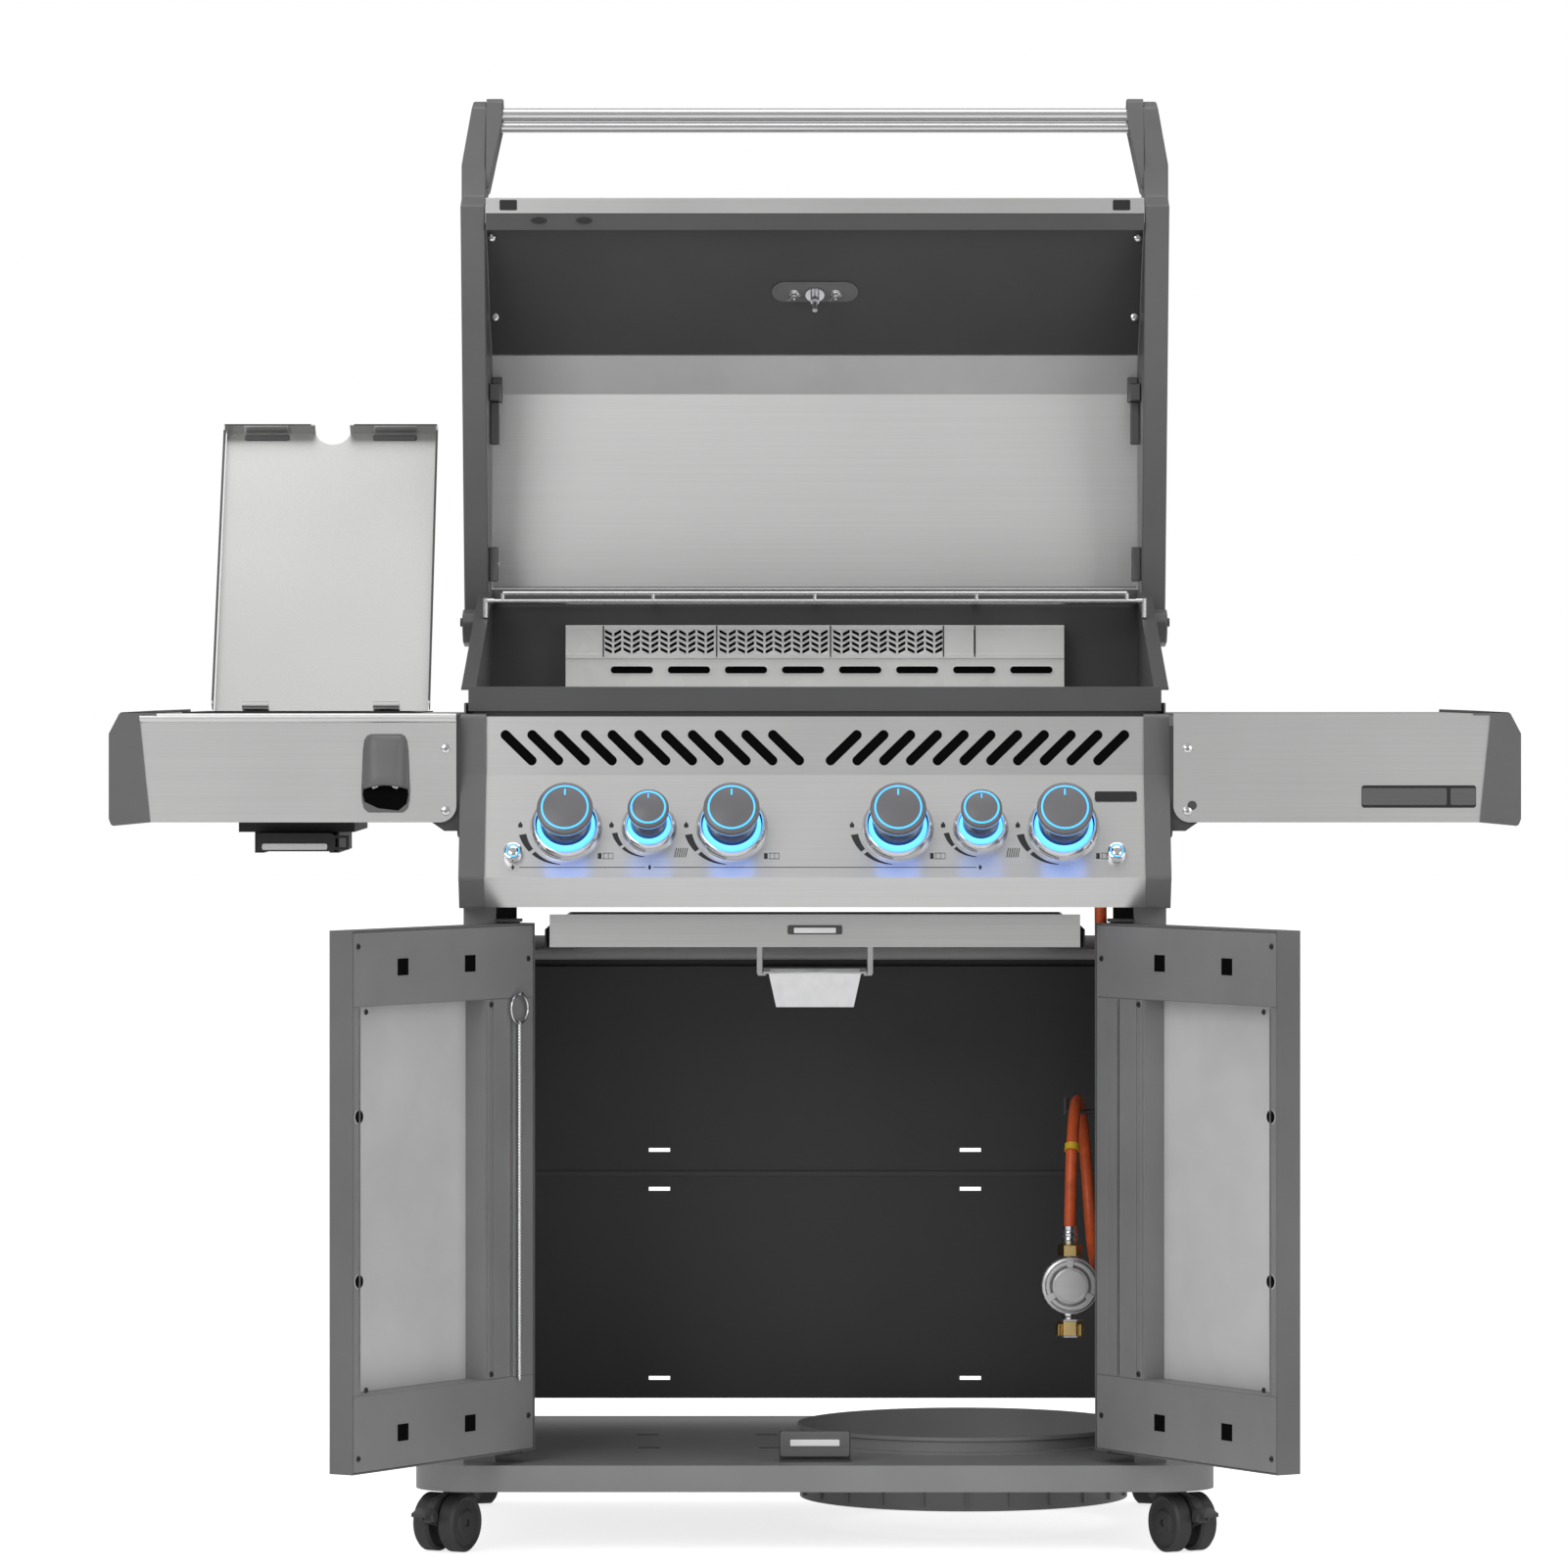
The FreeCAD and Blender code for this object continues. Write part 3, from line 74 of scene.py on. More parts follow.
# ---------------------------------------------------------------- materials
class Look:
    """A node material built round one Principled shader."""

    def __init__(self, name, colour, rough, metal=0.0, **sockets):
        self.material = bpy.data.materials.new(name)
        self.material.use_nodes = True
        self.tree = self.material.node_tree
        self.shader = self.tree.nodes["Principled BSDF"]
        self.shader.inputs["Base Color"].default_value = (*colour, 1)
        self.shader.inputs["Roughness"].default_value = rough
        self.shader.inputs["Metallic"].default_value = metal
        for socket, value in sockets.items():
            self.shader.inputs[socket.replace("_", " ")].default_value = value
        self.colour = colour
        self.rough = rough
        place = self.tree.nodes.new("ShaderNodeTexCoord")
        self.place = place.outputs["Object"]

    def noise(self, scale, stretch=(1, 1, 1), detail=4, rough=0.6):
        """Noise over the surface, in object space, stretched along the axes."""
        mapping = self.tree.nodes.new("ShaderNodeMapping")
        mapping.inputs["Scale"].default_value = stretch
        self.tree.links.new(self.place, mapping.inputs["Vector"])
        texture = self.tree.nodes.new("ShaderNodeTexNoise")
        texture.inputs["Scale"].default_value = scale
        texture.inputs["Detail"].default_value = detail
        texture.inputs["Roughness"].default_value = rough
        self.tree.links.new(mapping.outputs["Vector"], texture.inputs["Vector"])
        return texture.outputs["Fac"]

    def ramp(self, fac, low, high, start=0.3, end=0.7):
        """A blend between two colours as a factor goes from start to end."""
        node = self.tree.nodes.new("ShaderNodeValToRGB")
        node.color_ramp.elements[0].position = start
        node.color_ramp.elements[1].position = end
        node.color_ramp.elements[0].color = (*low, 1)
        node.color_ramp.elements[1].color = (*high, 1)
        self.tree.links.new(fac, node.inputs["Fac"])
        return node.outputs["Color"]

    def span(self, fac, low, high):
        """A number that runs from low to high with a factor."""
        node = self.tree.nodes.new("ShaderNodeMapRange")
        node.inputs["To Min"].default_value = low
        node.inputs["To Max"].default_value = high
        self.tree.links.new(fac, node.inputs["Value"])
        return node.outputs["Result"]

    def vary_colour(self, fac, amount):
        low = [c * (1 - amount) for c in self.colour]
        high = [min(1, c * (1 + amount)) for c in self.colour]
        self.tree.links.new(self.ramp(fac, low, high), self.shader.inputs["Base Color"])

    def vary_rough(self, fac, amount):
        low = max(0.02, self.rough - amount)
        self.tree.links.new(self.span(fac, low, self.rough + amount), self.shader.inputs["Roughness"])

    def bump(self, fac, strength, distance=0.0002):
        node = self.tree.nodes.new("ShaderNodeBump")
        node.inputs["Strength"].default_value = strength
        node.inputs["Distance"].default_value = distance
        self.tree.links.new(fac, node.inputs["Height"])
        self.tree.links.new(node.outputs["Normal"], self.shader.inputs["Normal"])


def brushed(name, colour, rough, along, streak=0.04):
    """Sheet steel with long fine scratches along one axis."""
    look = Look(name, colour, rough, metal=1.0)
    stretch = {"X": (3, 900, 900), "Y": (900, 3, 900), "Z": (900, 900, 3)}[along]
    grain = look.noise(1.0, stretch, detail=3)
    cloud = look.noise(4.0, detail=2)
    look.vary_colour(grain, streak)
    look.vary_rough(cloud, 0.05)
    look.bump(grain, 0.05, 0.0001)
    return look.material


def painted(name, colour, rough, grain=900, strength=0.15, **sockets):
    """Sprayed paint with a fine orange-peel surface."""
    look = Look(name, colour, rough, **sockets)
    peel = look.noise(grain, detail=2)
    cloud = look.noise(6.0, detail=3)
    look.vary_colour(cloud, 0.08)
    look.vary_rough(cloud, 0.05)
    look.bump(peel, strength)
    return look.material


def moulded(name, colour, rough, **sockets):
    """Moulded plastic with a fine spark-eroded grain."""
    look = Look(name, colour, rough, **sockets)
    grain = look.noise(1400, detail=2)
    cloud = look.noise(10, detail=2)
    look.vary_colour(cloud, 0.06)
    look.bump(grain, 0.2)
    return look.material


def polished(name, colour, rough):
    """Smooth bright metal with faint smears."""
    look = Look(name, colour, rough, metal=1.0)
    smear = look.noise(30, (1, 6, 6), detail=3)
    look.vary_rough(smear, 0.04)
    look.vary_colour(smear, 0.03)
    return look.material


def glowing(name, colour, strength):
    """A lit light guide."""
    look = Look(name, colour, 0.3)
    look.shader.inputs["Emission Color"].default_value = (*colour, 1)
    look.shader.inputs["Emission Strength"].default_value = strength
    cloud = look.noise(40, detail=1)
    look.vary_colour(cloud, 0.05)
    return look.material


def foil(name):
    """Thin crumpled aluminium foil, with painted shade in its creases."""
    look = Look(name, (0.72, 0.72, 0.73), 0.28, metal=1.0)
    crease = look.noise(70, detail=4, rough=0.5)
    look.bump(crease, 0.6, 0.0015)
    # darker where the bump is low: painted shade in the creases
    look.vary_colour(crease, 0.05)
    return look.material


def ceramic(name):
    look = Look(name, (0.62, 0.57, 0.5), 0.8)
    pore = look.noise(700, detail=1)
    # darker where the pores sink: painted shade in the pores
    look.vary_colour(pore, 0.35)
    look.bump(pore, 0.5, 0.0005)
    return look.material


def hose_skin(name):
    """Orange rubber hose with a faint woven print and a chalky bloom."""
    look = Look(name, (0.78, 0.13, 0.035), 0.42)
    bloom = look.noise(60, detail=3)
    weave = look.noise(600, (1, 1, 0.4), detail=1)
    look.vary_colour(bloom, 0.18)
    look.bump(weave, 0.25)
    return look.material


STEEL = brushed("steel_level", (0.66, 0.66, 0.655), 0.33, "X")
STEEL_UP = brushed("steel_upright", (0.64, 0.64, 0.635), 0.36, "Z", 0.05)
# darker copy of the level steel: painted shade on the parts inside the firebox
STEEL_SHADED = brushed("steel_painted_shade", (0.52, 0.52, 0.515), 0.42, "X", 0.04)
# dark steel: painted shade on the lid tabs, also used for the hood brackets and the badge fields
STEEL_DARK_AND_SHADED = brushed("steel_dark_and_painted_shade", (0.16, 0.16, 0.16), 0.5, "X", 0.06)
CHROME = polished("chrome", (0.7, 0.7, 0.71), 0.14)
WIRE = polished("wire", (0.7, 0.7, 0.7), 0.22)
GREY_CAST = painted("grey_cast_paint", (0.13, 0.13, 0.132), 0.42)
GREY_DARK = painted("grey_dark_paint", (0.06, 0.06, 0.062), 0.45)
FIREBOX_GREY = painted("firebox_paint", (0.07, 0.07, 0.072), 0.5, 500, 0.25)
CABINET = painted("cabinet_paint", (0.05, 0.05, 0.051), 0.5, 700, 0.2)
DOOR_GREY = painted("door_paint", (0.235, 0.235, 0.237), 0.4, 800, 0.15)
DOOR_SKIN = painted("door_skin_paint", (0.15, 0.15, 0.152), 0.4, 800, 0.15)
# lighter copy of the steel: painted light on the hood's inside top
HOOD_TOP_LIT = brushed("hood_top_painted_light", (0.72, 0.72, 0.715), 0.42, "X", 0.03)
# mid grey: painted half shade on the hood's inside bend
HOOD_BEND_HALF_SHADE = painted("hood_bend_painted_half_shade", (0.62, 0.62, 0.62), 0.5, 900, 0.05)
HOOD_PLATE = painted("thermometer_plate_sheet", (0.16, 0.16, 0.162), 0.35, 900, 0.05)
# near black: painted shade on the hood's inside front face and fold
HOOD_SHADE = painted("hood_painted_shade", (0.075, 0.075, 0.077), 0.5, 900, 0.05)
LID_STEEL = brushed("lid_steel", (0.46, 0.46, 0.455), 0.42, "Z", 0.05)
# pale flat paint on the steel rear burner: its bright reflection painted in
BURNER_PAINTED_REFLECTION = painted("burner_painted_reflection", (0.84, 0.84, 0.83), 0.28, 700, 0.12)
DOOR_PANEL = painted("door_inner_sheet", (0.6, 0.6, 0.6), 0.42, 800, 0.1)
BRIGHT = painted("catch_zinc", (0.86, 0.86, 0.86), 0.35, 900, 0.05)
BASE_GREY = painted("base_paint", (0.24, 0.24, 0.242), 0.38, 700, 0.2)
# darker copy of the level steel: painted shade on the drip tray
TRAY_STEEL_SHADED = brushed("tray_steel_painted_shade", (0.56, 0.56, 0.555), 0.34, "X", 0.06)
# light grey: painted highlight along the dark back sheets' rounded top edge
RAIL_HIGHLIGHT = painted("rail_painted_highlight", (0.42, 0.42, 0.42), 0.3, 800, 0.1)
BLACK = painted("black_paint", (0.012, 0.012, 0.013), 0.4)
SHADE = painted("deep_shade", (0.003, 0.003, 0.003), 0.95, 300, 0.1, Specular_IOR_Level=0.05)
CAST_IRON = painted("cast_iron", (0.02, 0.02, 0.021), 0.6, 300, 0.5)
PLASTIC = moulded("caster_plastic", (0.06, 0.06, 0.063), 0.35)
TREAD = moulded("caster_tread", (0.045, 0.045, 0.047), 0.5)
KNOB_CAP = moulded("knob_cap", (0.15, 0.147, 0.155), 0.3)
# dark blue: painted shade under the cap, tinted with the glow's painted blue light
KNOB_WAIST_SHADE = moulded("knob_waist_painted_shade", (0.01, 0.012, 0.05), 0.15)
GLOW = glowing("cyan_light", (0.05, 0.4, 1.0), 1.2)
GLOW_BRIGHT = glowing("cyan_light_bright", (0.12, 0.48, 1.0), 1.35)
BRASS = polished("brass", (0.62, 0.45, 0.2), 0.25)
ALLOY = polished("alloy", (0.62, 0.62, 0.63), 0.32)
FOIL = foil("foil")
CERAMIC = ceramic("ceramic")
HOSE = hose_skin("hose_rubber")
YELLOW = moulded("yellow_tie", (0.85, 0.55, 0.03), 0.35)
INK = moulded("black_print", (0.015, 0.015, 0.016), 0.5)
BADGE = moulded("badge_face", (0.02, 0.02, 0.022), 0.25)

NODE_LOOKS = {
    "base_tray": BASE_GREY, "bottle_collar": BASE_GREY, "side_panels": DOOR_GREY,
    "back_panels": CABINET, "cart_brackets": GREY_DARK, "firebox": FIREBOX_GREY,
    "burner_tubes": STEEL_SHADED, "sear_plates": STEEL_SHADED, "cooking_grids": WIRE,
    "warming_rack": WIRE, "rear_burner_housing": BURNER_PAINTED_REFLECTION, "rear_burner_tile": CERAMIC,
    "gas_manifold": ALLOY, "control_panel": STEEL, "panel_trims": GREY_CAST,
    "knob_bezels": CHROME, "left_shelf_top": STEEL, "left_shelf_fascia": STEEL,
    "left_shelf_endcap": GREY_CAST, "side_burner_pan": BLACK, "side_burner_head": ALLOY,
    "side_burner_grate": CAST_IRON, "bottle_opener": GREY_CAST, "hinge_pins": GREY_DARK,
    "gas_hose": HOSE, "gas_regulator": ALLOY, "hood_shell": STEEL, "hood_caps": GREY_CAST,
    "hood_handle": CHROME, "thermometer": CHROME, "side_burner_lid": LID_STEEL,
    "left_door_skin": DOOR_SKIN, "left_door_frame": DOOR_GREY, "match_holder": WIRE,
    "right_door_skin": DOOR_SKIN, "right_door_frame": DOOR_GREY, "right_shelf_top": STEEL,
    "right_shelf_fascia": STEEL, "right_shelf_endcap": GREY_CAST, "drip_tray": TRAY_STEEL_SHADED,
    "grease_cup": FOIL, "side_drip_tray": BLACK, "igniter_button": CHROME,
    "light_button": CHROME,
}


def dress_nodes():
    """Give every carried-over CAD node its node-based finish."""
    for name, node in NODES.items():
        look = NODE_LOOKS.get(name)
        if look is None:
            look = TREAD if "wheels" in name else KNOB_CAP if "knob" in name else PLASTIC
        node.data.materials.clear()
        node.data.materials.append(look)


dress_nodes()


# ------------------------------------------------------------ mesh building
def finish_mesh(name, mesh, looks, body, bevel=0.0, segments=2, smooth=True):
    """Turn a bmesh into a piece that rides on a body."""
    data = bpy.data.meshes.new(name)
    bmesh.ops.recalc_face_normals(mesh, faces=mesh.faces)
    mesh.to_mesh(data)
    mesh.free()
    for look in looks if isinstance(looks, (list, tuple)) else [looks]:
        data.materials.append(look)
    for face in data.polygons:
        face.use_smooth = smooth
    piece = bpy.data.objects.new(name, data)
    bpy.context.scene.collection.objects.link(piece)
    if bevel:
        rounding = piece.modifiers.new("bevel", "BEVEL")
        rounding.width = bevel * MM
        rounding.segments = segments
        rounding.limit_method = "ANGLE"
        rounding.angle_limit = math.radians(35)
        rounding.harden_normals = True
        data.set_sharp_from_angle(angle=math.radians(35))
    elif smooth:
        data.set_sharp_from_angle(angle=math.radians(35))
    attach(piece, body)
    return piece


PLANES = {
    "XY": lambda a, b, c: (a, b, c),
    "XZ": lambda a, b, c: (a, c, b),
    "YZ": lambda a, b, c: (c, a, b),
}


def push_outline(mesh, plane, points, low, high, place=None, mirror=False, look=0):
    """Add a closed outline, pushed between two places, to a bmesh."""
    flip = -1 if mirror else 1
    rings = []
    for level in (low, high):
        ring = []
        for a, b in points:
            x, y, z = PLANES[plane](a, b, level)
            spot = at(x * flip, y, z)
            ring.append(mesh.verts.new(place @ spot if place else spot))
        rings.append(ring)
    faces = [mesh.faces.new(rings[0]), mesh.faces.new(rings[1])]
    count = len(points)
    for i in range(count):
        j = (i + 1) % count
        faces.append(mesh.faces.new((rings[0][i], rings[0][j], rings[1][j], rings[1][i])))
    for face in faces:
        face.material_index = look
    return mesh


def block_outline(x, y):
    return [(x[0], y[0]), (x[1], y[0]), (x[1], y[1]), (x[0], y[1])]


def add_block(mesh, x, y, z, place=None, mirror=False, look=0):
    return push_outline(mesh, "XY", block_outline(x, y), z[0], z[1], place, mirror, look)


def rounded_outline(x, y, radius, steps=5):
    """A rectangle with round corners."""
    points = []
    corners = ((x[1] - radius, y[1] - radius, 0), (x[0] + radius, y[1] - radius, 90),
               (x[0] + radius, y[0] + radius, 180), (x[1] - radius, y[0] + radius, 270))
    for cx, cy, start in corners:
        for k in range(steps + 1):
            turn = math.radians(start + 90 * k / steps)
            points.append((cx + radius * math.cos(turn), cy + radius * math.sin(turn)))
    return points


def turn_profile(mesh, profile, place, bands=None, steps=48):
    """Turn a list of (radius, height) points, in millimetres, round local Z."""
    rings = []
    for radius, height in profile:
        if radius < 1e-6:
            rings.append([mesh.verts.new(place @ Vector((0, 0, height * MM)))])
            continue
        ring = []
        for k in range(steps):
            turn = 2 * math.pi * k / steps
            spot = Vector((radius * MM * math.cos(turn), radius * MM * math.sin(turn), height * MM))
            ring.append(mesh.verts.new(place @ spot))
        rings.append(ring)
    for index, (a, b) in enumerate(zip(rings, rings[1:])):
        look = bands[index] if bands else 0
        for k in range(steps):
            n = (k + 1) % steps
            if len(a) == 1 and len(b) == 1:
                continue
            if len(a) == 1:
                face = mesh.faces.new((a[0], b[k], b[n]))
            elif len(b) == 1:
                face = mesh.faces.new((a[k], a[n], b[0]))
            else:
                face = mesh.faces.new((a[k], a[n], b[n], b[k]))
            face.material_index = look
    return mesh


def wire_piece(name, runs, radius, look, body, closed=False, place=None):
    """A round wire bent through points, with soft bends."""
    data = bpy.data.curves.new(name, "CURVE")
    data.dimensions = "3D"
    data.bevel_depth = radius * MM
    data.bevel_resolution = 3
    data.use_fill_caps = True
    for points in runs:
        spline = data.splines.new("NURBS")
        spline.points.add(len(points) - 1)
        for point, spot in zip(spline.points, points):
            where = at(*spot)
            if place:
                where = place @ where
            point.co = (*where, 1)
        spline.order_u = 3
        spline.use_endpoint_u = not closed
        spline.use_cyclic_u = closed
    data.materials.append(look)
    piece = bpy.data.objects.new(name, data)
    bpy.context.scene.collection.objects.link(piece)
    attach(piece, body)
    return piece


def facing(spot, normal):
    """A placement whose local Z looks along a normal."""
    turn = Vector(normal).to_track_quat("Z", "Y").to_matrix().to_4x4()
    return Matrix.Translation(spot) @ turn


def screws(name, spots, normal, radius, body, place=None, look=None):
    """Low domed screw heads with a round socket."""
    mesh = bmesh.new()
    for spot in spots:
        where = at(*spot)
        way = Vector(normal)
        if place:
            where = place @ where
            way = place.to_3x3() @ way
        profile = [(0, radius * 0.15), (radius * 0.35, radius * 0.15), (radius * 0.4, radius * 0.55),
                   (radius * 0.8, radius * 0.45), (radius, radius * 0.15), (radius, 0)]
        turn_profile(mesh, profile, facing(where, way), steps=20)
    return finish_mesh(name, mesh, look or CHROME, body)


def hinge_place(pivot, axis, angle):
    """The placement that carries a shut piece to where it rests."""
    spot = at(*pivot)
    turn = Matrix.Rotation(math.radians(angle), 4, axis)
    return Matrix.Translation(spot) @ turn @ Matrix.Translation(-spot)


HOOD = hinge_place((0, 228, 1022), "X", -90)
LID = hinge_place((0, 140, 926), "X", -121)
DOORS = {"left": hinge_place((-327, -266, 0), "Z", -122),
         "right": hinge_place((327, -266, 0), "Z", 122)}


# --------------------------------------------------------------- gas hose
HOSE_ROUTE = [(313, -258.5, 753), (313, -258.5, 728), (314, -236, 690), (315, -231, 608),
              (318, -206, 522), (320, -150, 452), (322, -98, 384), (322, -46, 318),
              (320, 26, 284), (316, 96, 308), (312, 128, 378), (306, 108, 450), (298, 44, 486),
              (291, -22, 462), (287, -54, 400), (286, -55, 343)]


def build_hose():
    hose = wire_piece("hose", [HOSE_ROUTE], 6.75, HOSE, "cart")
    hose.data.bevel_resolution = 6
    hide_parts("gas_hose")
    tie = bmesh.new()
    ring = [(6.9, -4), (8.3, -4), (8.3, 4), (6.9, 4), (6.9, -4)]
    spot = at(288.7, -40, 430)
    turn_profile(tie, ring, facing(spot, (-0.06, -0.45, -0.89)), steps=28)
    tie = finish_mesh("hose_tie", tie, YELLOW, "cart")


build_hose()


# ------------------------------------------------------------------- knobs
KNOBS = {"knob_1": (-271.5, True), "knob_2": (-181, False), "knob_3": (-90.5, True),
         "knob_4": (90.5, True), "knob_5": (181, False), "knob_6": (271.5, True)}
PANEL_OUT = Vector((0, -math.sin(TILT), math.cos(TILT)))
CAP_RADIUS = {True: 30.5, False: 22.5}         # by whether the knob is a large one
SKIRT_RADIUS = {True: 33.2, False: 25.0}
COLLAR_RADIUS = {True: 39, False: 30}
INK_LIFT = 0.05
INK_THICK = 0.3
LINE_LEVEL = -47.5                             # the printed line under the knobs
SIGN_LEVEL = -34


def on_panel(x, up, out=0.0):
    """A place on the panel's main band: across, up along the band, and out of it."""
    y = -294.7 + up * math.cos(TILT)
    z = 794 + up * math.sin(TILT)
    spot = at(x, y, z)
    return spot + PANEL_OUT * out * MM


def panel_frame(x, up, out=0.0):
    """A placement on the panel: local X across, local Y up the band, local Z out."""
    across = Vector((1, 0, 0))
    upward = Vector((0, math.cos(TILT), math.sin(TILT)))
    turn = Matrix((across, upward, PANEL_OUT)).transposed().to_4x4()
    return Matrix.Translation(on_panel(x, up, out)) @ turn


def build_knob(name, x, large):
    """A domed cap with a lit ring, a waist of dark blue painted shade and a lit skirt."""
    cap, skirt = CAP_RADIUS[large], SKIRT_RADIUS[large]
    ring = cap * 0.82
    profile = [(skirt - 3, 0.5), (skirt, 0.5), (skirt, 3.4), (skirt - 1, 5), (cap - 1.4, 14),
               (cap - 2.4, 15), (cap - 2.8, 44.6), (cap - 0.4, 45.2), (cap, 45.8), (cap, 46.8),
               (cap, 48), (cap, 52), (cap - 1, 53.6), (cap - 3, 54.3), (ring + 1, 54.6),
               (ring - 1, 54.9), (ring * 0.6, 56.2), (ring * 0.3, 56.8), (0, 57)]
    bands = [2, 2, 2, 4, 4, 1, 1, 3, 3, 0, 0, 0, 0, 0, 3, 0, 0, 0]
    mesh = bmesh.new()
    turn_profile(mesh, profile, panel_frame(x, 0), bands, 72)
    looks = [KNOB_CAP, KNOB_WAIST_SHADE, CHROME, GLOW, GLOW_BRIGHT]
    piece = finish_mesh(name + "_look", mesh, looks, name)
    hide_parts(name)
    tick = bmesh.new()
    scale = cap / CAP_RADIUS[True]
    bar = block_outline((-0.9 * scale, 0.9 * scale), (-3.5 * scale, 3.5 * scale))
    add_flat(tick, bar, panel_frame(x, ring * 0.7, 55.6), 0.7)
    finish_mesh(name + "_mark", tick, GLOW, name, smooth=False)


def add_flat(mesh, outline, place, thick, look=0):
    """A thin plate on a placement's local XY plane, in millimetres."""
    rings = []
    for level in (0, thick):
        rings.append([mesh.verts.new(place @ Vector((a * MM, b * MM, level * MM)))
                      for a, b in outline])
    count = len(outline)
    faces = [mesh.faces.new(rings[0]), mesh.faces.new(rings[1])]
    for i in range(count):
        j = (i + 1) % count
        faces.append(mesh.faces.new((rings[0][i], rings[0][j], rings[1][j], rings[1][i])))
    for face in faces:
        face.material_index = look


def build_bezels():
    mesh = bmesh.new()
    for x, large in KNOBS.values():
        r = COLLAR_RADIUS[large]
        profile = [(r - 5.7, 0.2), (r, 0.2), (r + 0.2, 1.5), (r - 0.6, 3), (r - 0.8, 6.5), (r - 2.2, 9.5),
                   (r - 3.6, 11), (r - 4.8, 11.2), (r - 5.6, 10.4), (r - 5.7, 0.2)]
        turn_profile(mesh, profile, panel_frame(x, 0), steps=72)
    piece = finish_mesh("knob_collars", mesh, CHROME, "cart")
    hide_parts("knob_bezels")


def add_ink(ink, outline, x, up):
    """A flat printed shape with its middle at a place on the panel."""
    add_flat(ink, outline, panel_frame(x, up, INK_LIFT), INK_THICK)


def print_scale(ink, x, large):
    """A curved bar that narrows as it runs round the collar's lower left."""
    radius = COLLAR_RADIUS[large] + 5
    start, stop = math.radians(190), math.radians(262)
    widest = 7.5 if large else 5.5
    steps, gap = 14, 5
    outer, inner = [], []
    for k in range(steps + 1):
        turn = start + (stop - start) * k / steps
        wide = widest * (1 - k / steps) + 0.6
        outer.append(((radius + wide) * math.cos(turn), (radius + wide) * math.sin(turn)))
        inner.append((radius * math.cos(turn), radius * math.sin(turn)))
    for k in range(steps):
        if k != gap:
            add_ink(ink, [outer[k], outer[k + 1], inner[k + 1], inner[k]], x, 0)


def print_sign(ink, x, large):
    """A framed row of cells by a large knob, and a row of slanted bars by a small one."""
    if not large:
        for k in range(6):
            bar = [(-1.6, -5.5), (-0.6, -5.5), (1.6, 5.5), (0.6, 5.5)]
            add_ink(ink, bar, x - 6 + 2.4 * k, SIGN_LEVEL + 4)
        return
    half = 3.4
    add_ink(ink, block_outline((-2, 2), (-half, half)), x - 7, SIGN_LEVEL)
    for k in range(3):
        add_ink(ink, block_outline((-0.25, 0.25), (-half, half)), x + 5 * k - 2.5, SIGN_LEVEL)
    for edge in (-half, half):
        add_ink(ink, block_outline((-5, 6.5), (-0.25, 0.25)), x + 1, SIGN_LEVEL + edge)


def build_print():
    """Printed heat scales, small signs and the line under the knobs."""
    ink = bmesh.new()
    for x, large in KNOBS.values():
        radius = COLLAR_RADIUS[large]
        print_scale(ink, x, large)
        add_ink(ink, [(-2, -3), (2, -3), (2.6, 0), (0, 4), (-2.6, 0)], x - radius - 11, 3)
        print_sign(ink, x + radius + 5, large)
    for a, b in ((-322, -184), (-176, 176)):
        add_ink(ink, block_outline((a, b), (-0.35, 0.35)), 0, LINE_LEVEL)
    for x in (-329, -180, 180):
        add_ink(ink, [(0, 3.4), (2.0, 0), (0, -3.4), (-2.0, 0)], x, LINE_LEVEL)
    finish_mesh("panel_print", ink, INK, "cart", smooth=False)


def build_glow_spill():
    """Soft blue lamps under the knobs, so that their light falls on the panel."""
    for index, (x, large) in enumerate(KNOBS.values()):
        lamp = bpy.data.lights.new("knob_lamp_%d" % index, "AREA")
        lamp.shape = "DISK"
        lamp.size = 0.05
        lamp.color = (0.12, 0.3, 1.0)
        lamp.energy = 0.005 if large else 0.003
        thing = bpy.data.objects.new("knob_lamp_%d" % index, lamp)
        bpy.context.scene.collection.objects.link(thing)
        thing.matrix_world = panel_frame(x, -38, 30)


def build_buttons():
    for name, x in (("igniter_button", -329), ("light_button", 329)):
        place = Matrix.Translation(at(x, -308.3, 765)) @ panel_frame(0, 0).to_3x3().to_4x4()
        mesh = bmesh.new()
        profile = [(10.2, 0), (10.2, 9.4), (9.6, 10.6), (8.4, 11), (7.4, 10.2), (6.2, 10.2),
                   (5.4, 10.9), (2.4, 11.3), (0, 11.3)]
        bands = [0, 0, 0, 0, 1, 0, 0, 0]
        turn_profile(mesh, profile, place, bands, 40)
        cap = finish_mesh(name + "_cap", mesh, [CHROME, GLOW], name)
        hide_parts(name)


def build_panel_details():
    for name, (x, large) in KNOBS.items():
        build_knob(name, x, large)
    build_bezels()
    build_print()
    build_glow_spill()
    build_buttons()
    shade = bmesh.new()
    backing = [(-266.2, 856), (-264.6, 856), (-259.6, 909), (-261.0, 909)]
    push_outline(shade, "YZ", backing, -344, 344)
    finish_mesh("vent_shade", shade, SHADE, "cart", smooth=False)
    badge = bmesh.new()
    outline = rounded_outline((-23, 23), (-6, 6), 2.5)
    add_flat(badge, outline, panel_frame(329, 37, 0), 1.2)
    finish_mesh("panel_badge", badge, BADGE, "cart", bevel=0.4, smooth=False)
    for side, flip in (("left", -1), ("right", 1)):
        screws("trim_bolts_" + side, [(flip * 388, -270, 788)], (flip, 0, 0), 6, "cart", look=INK)


build_panel_details()


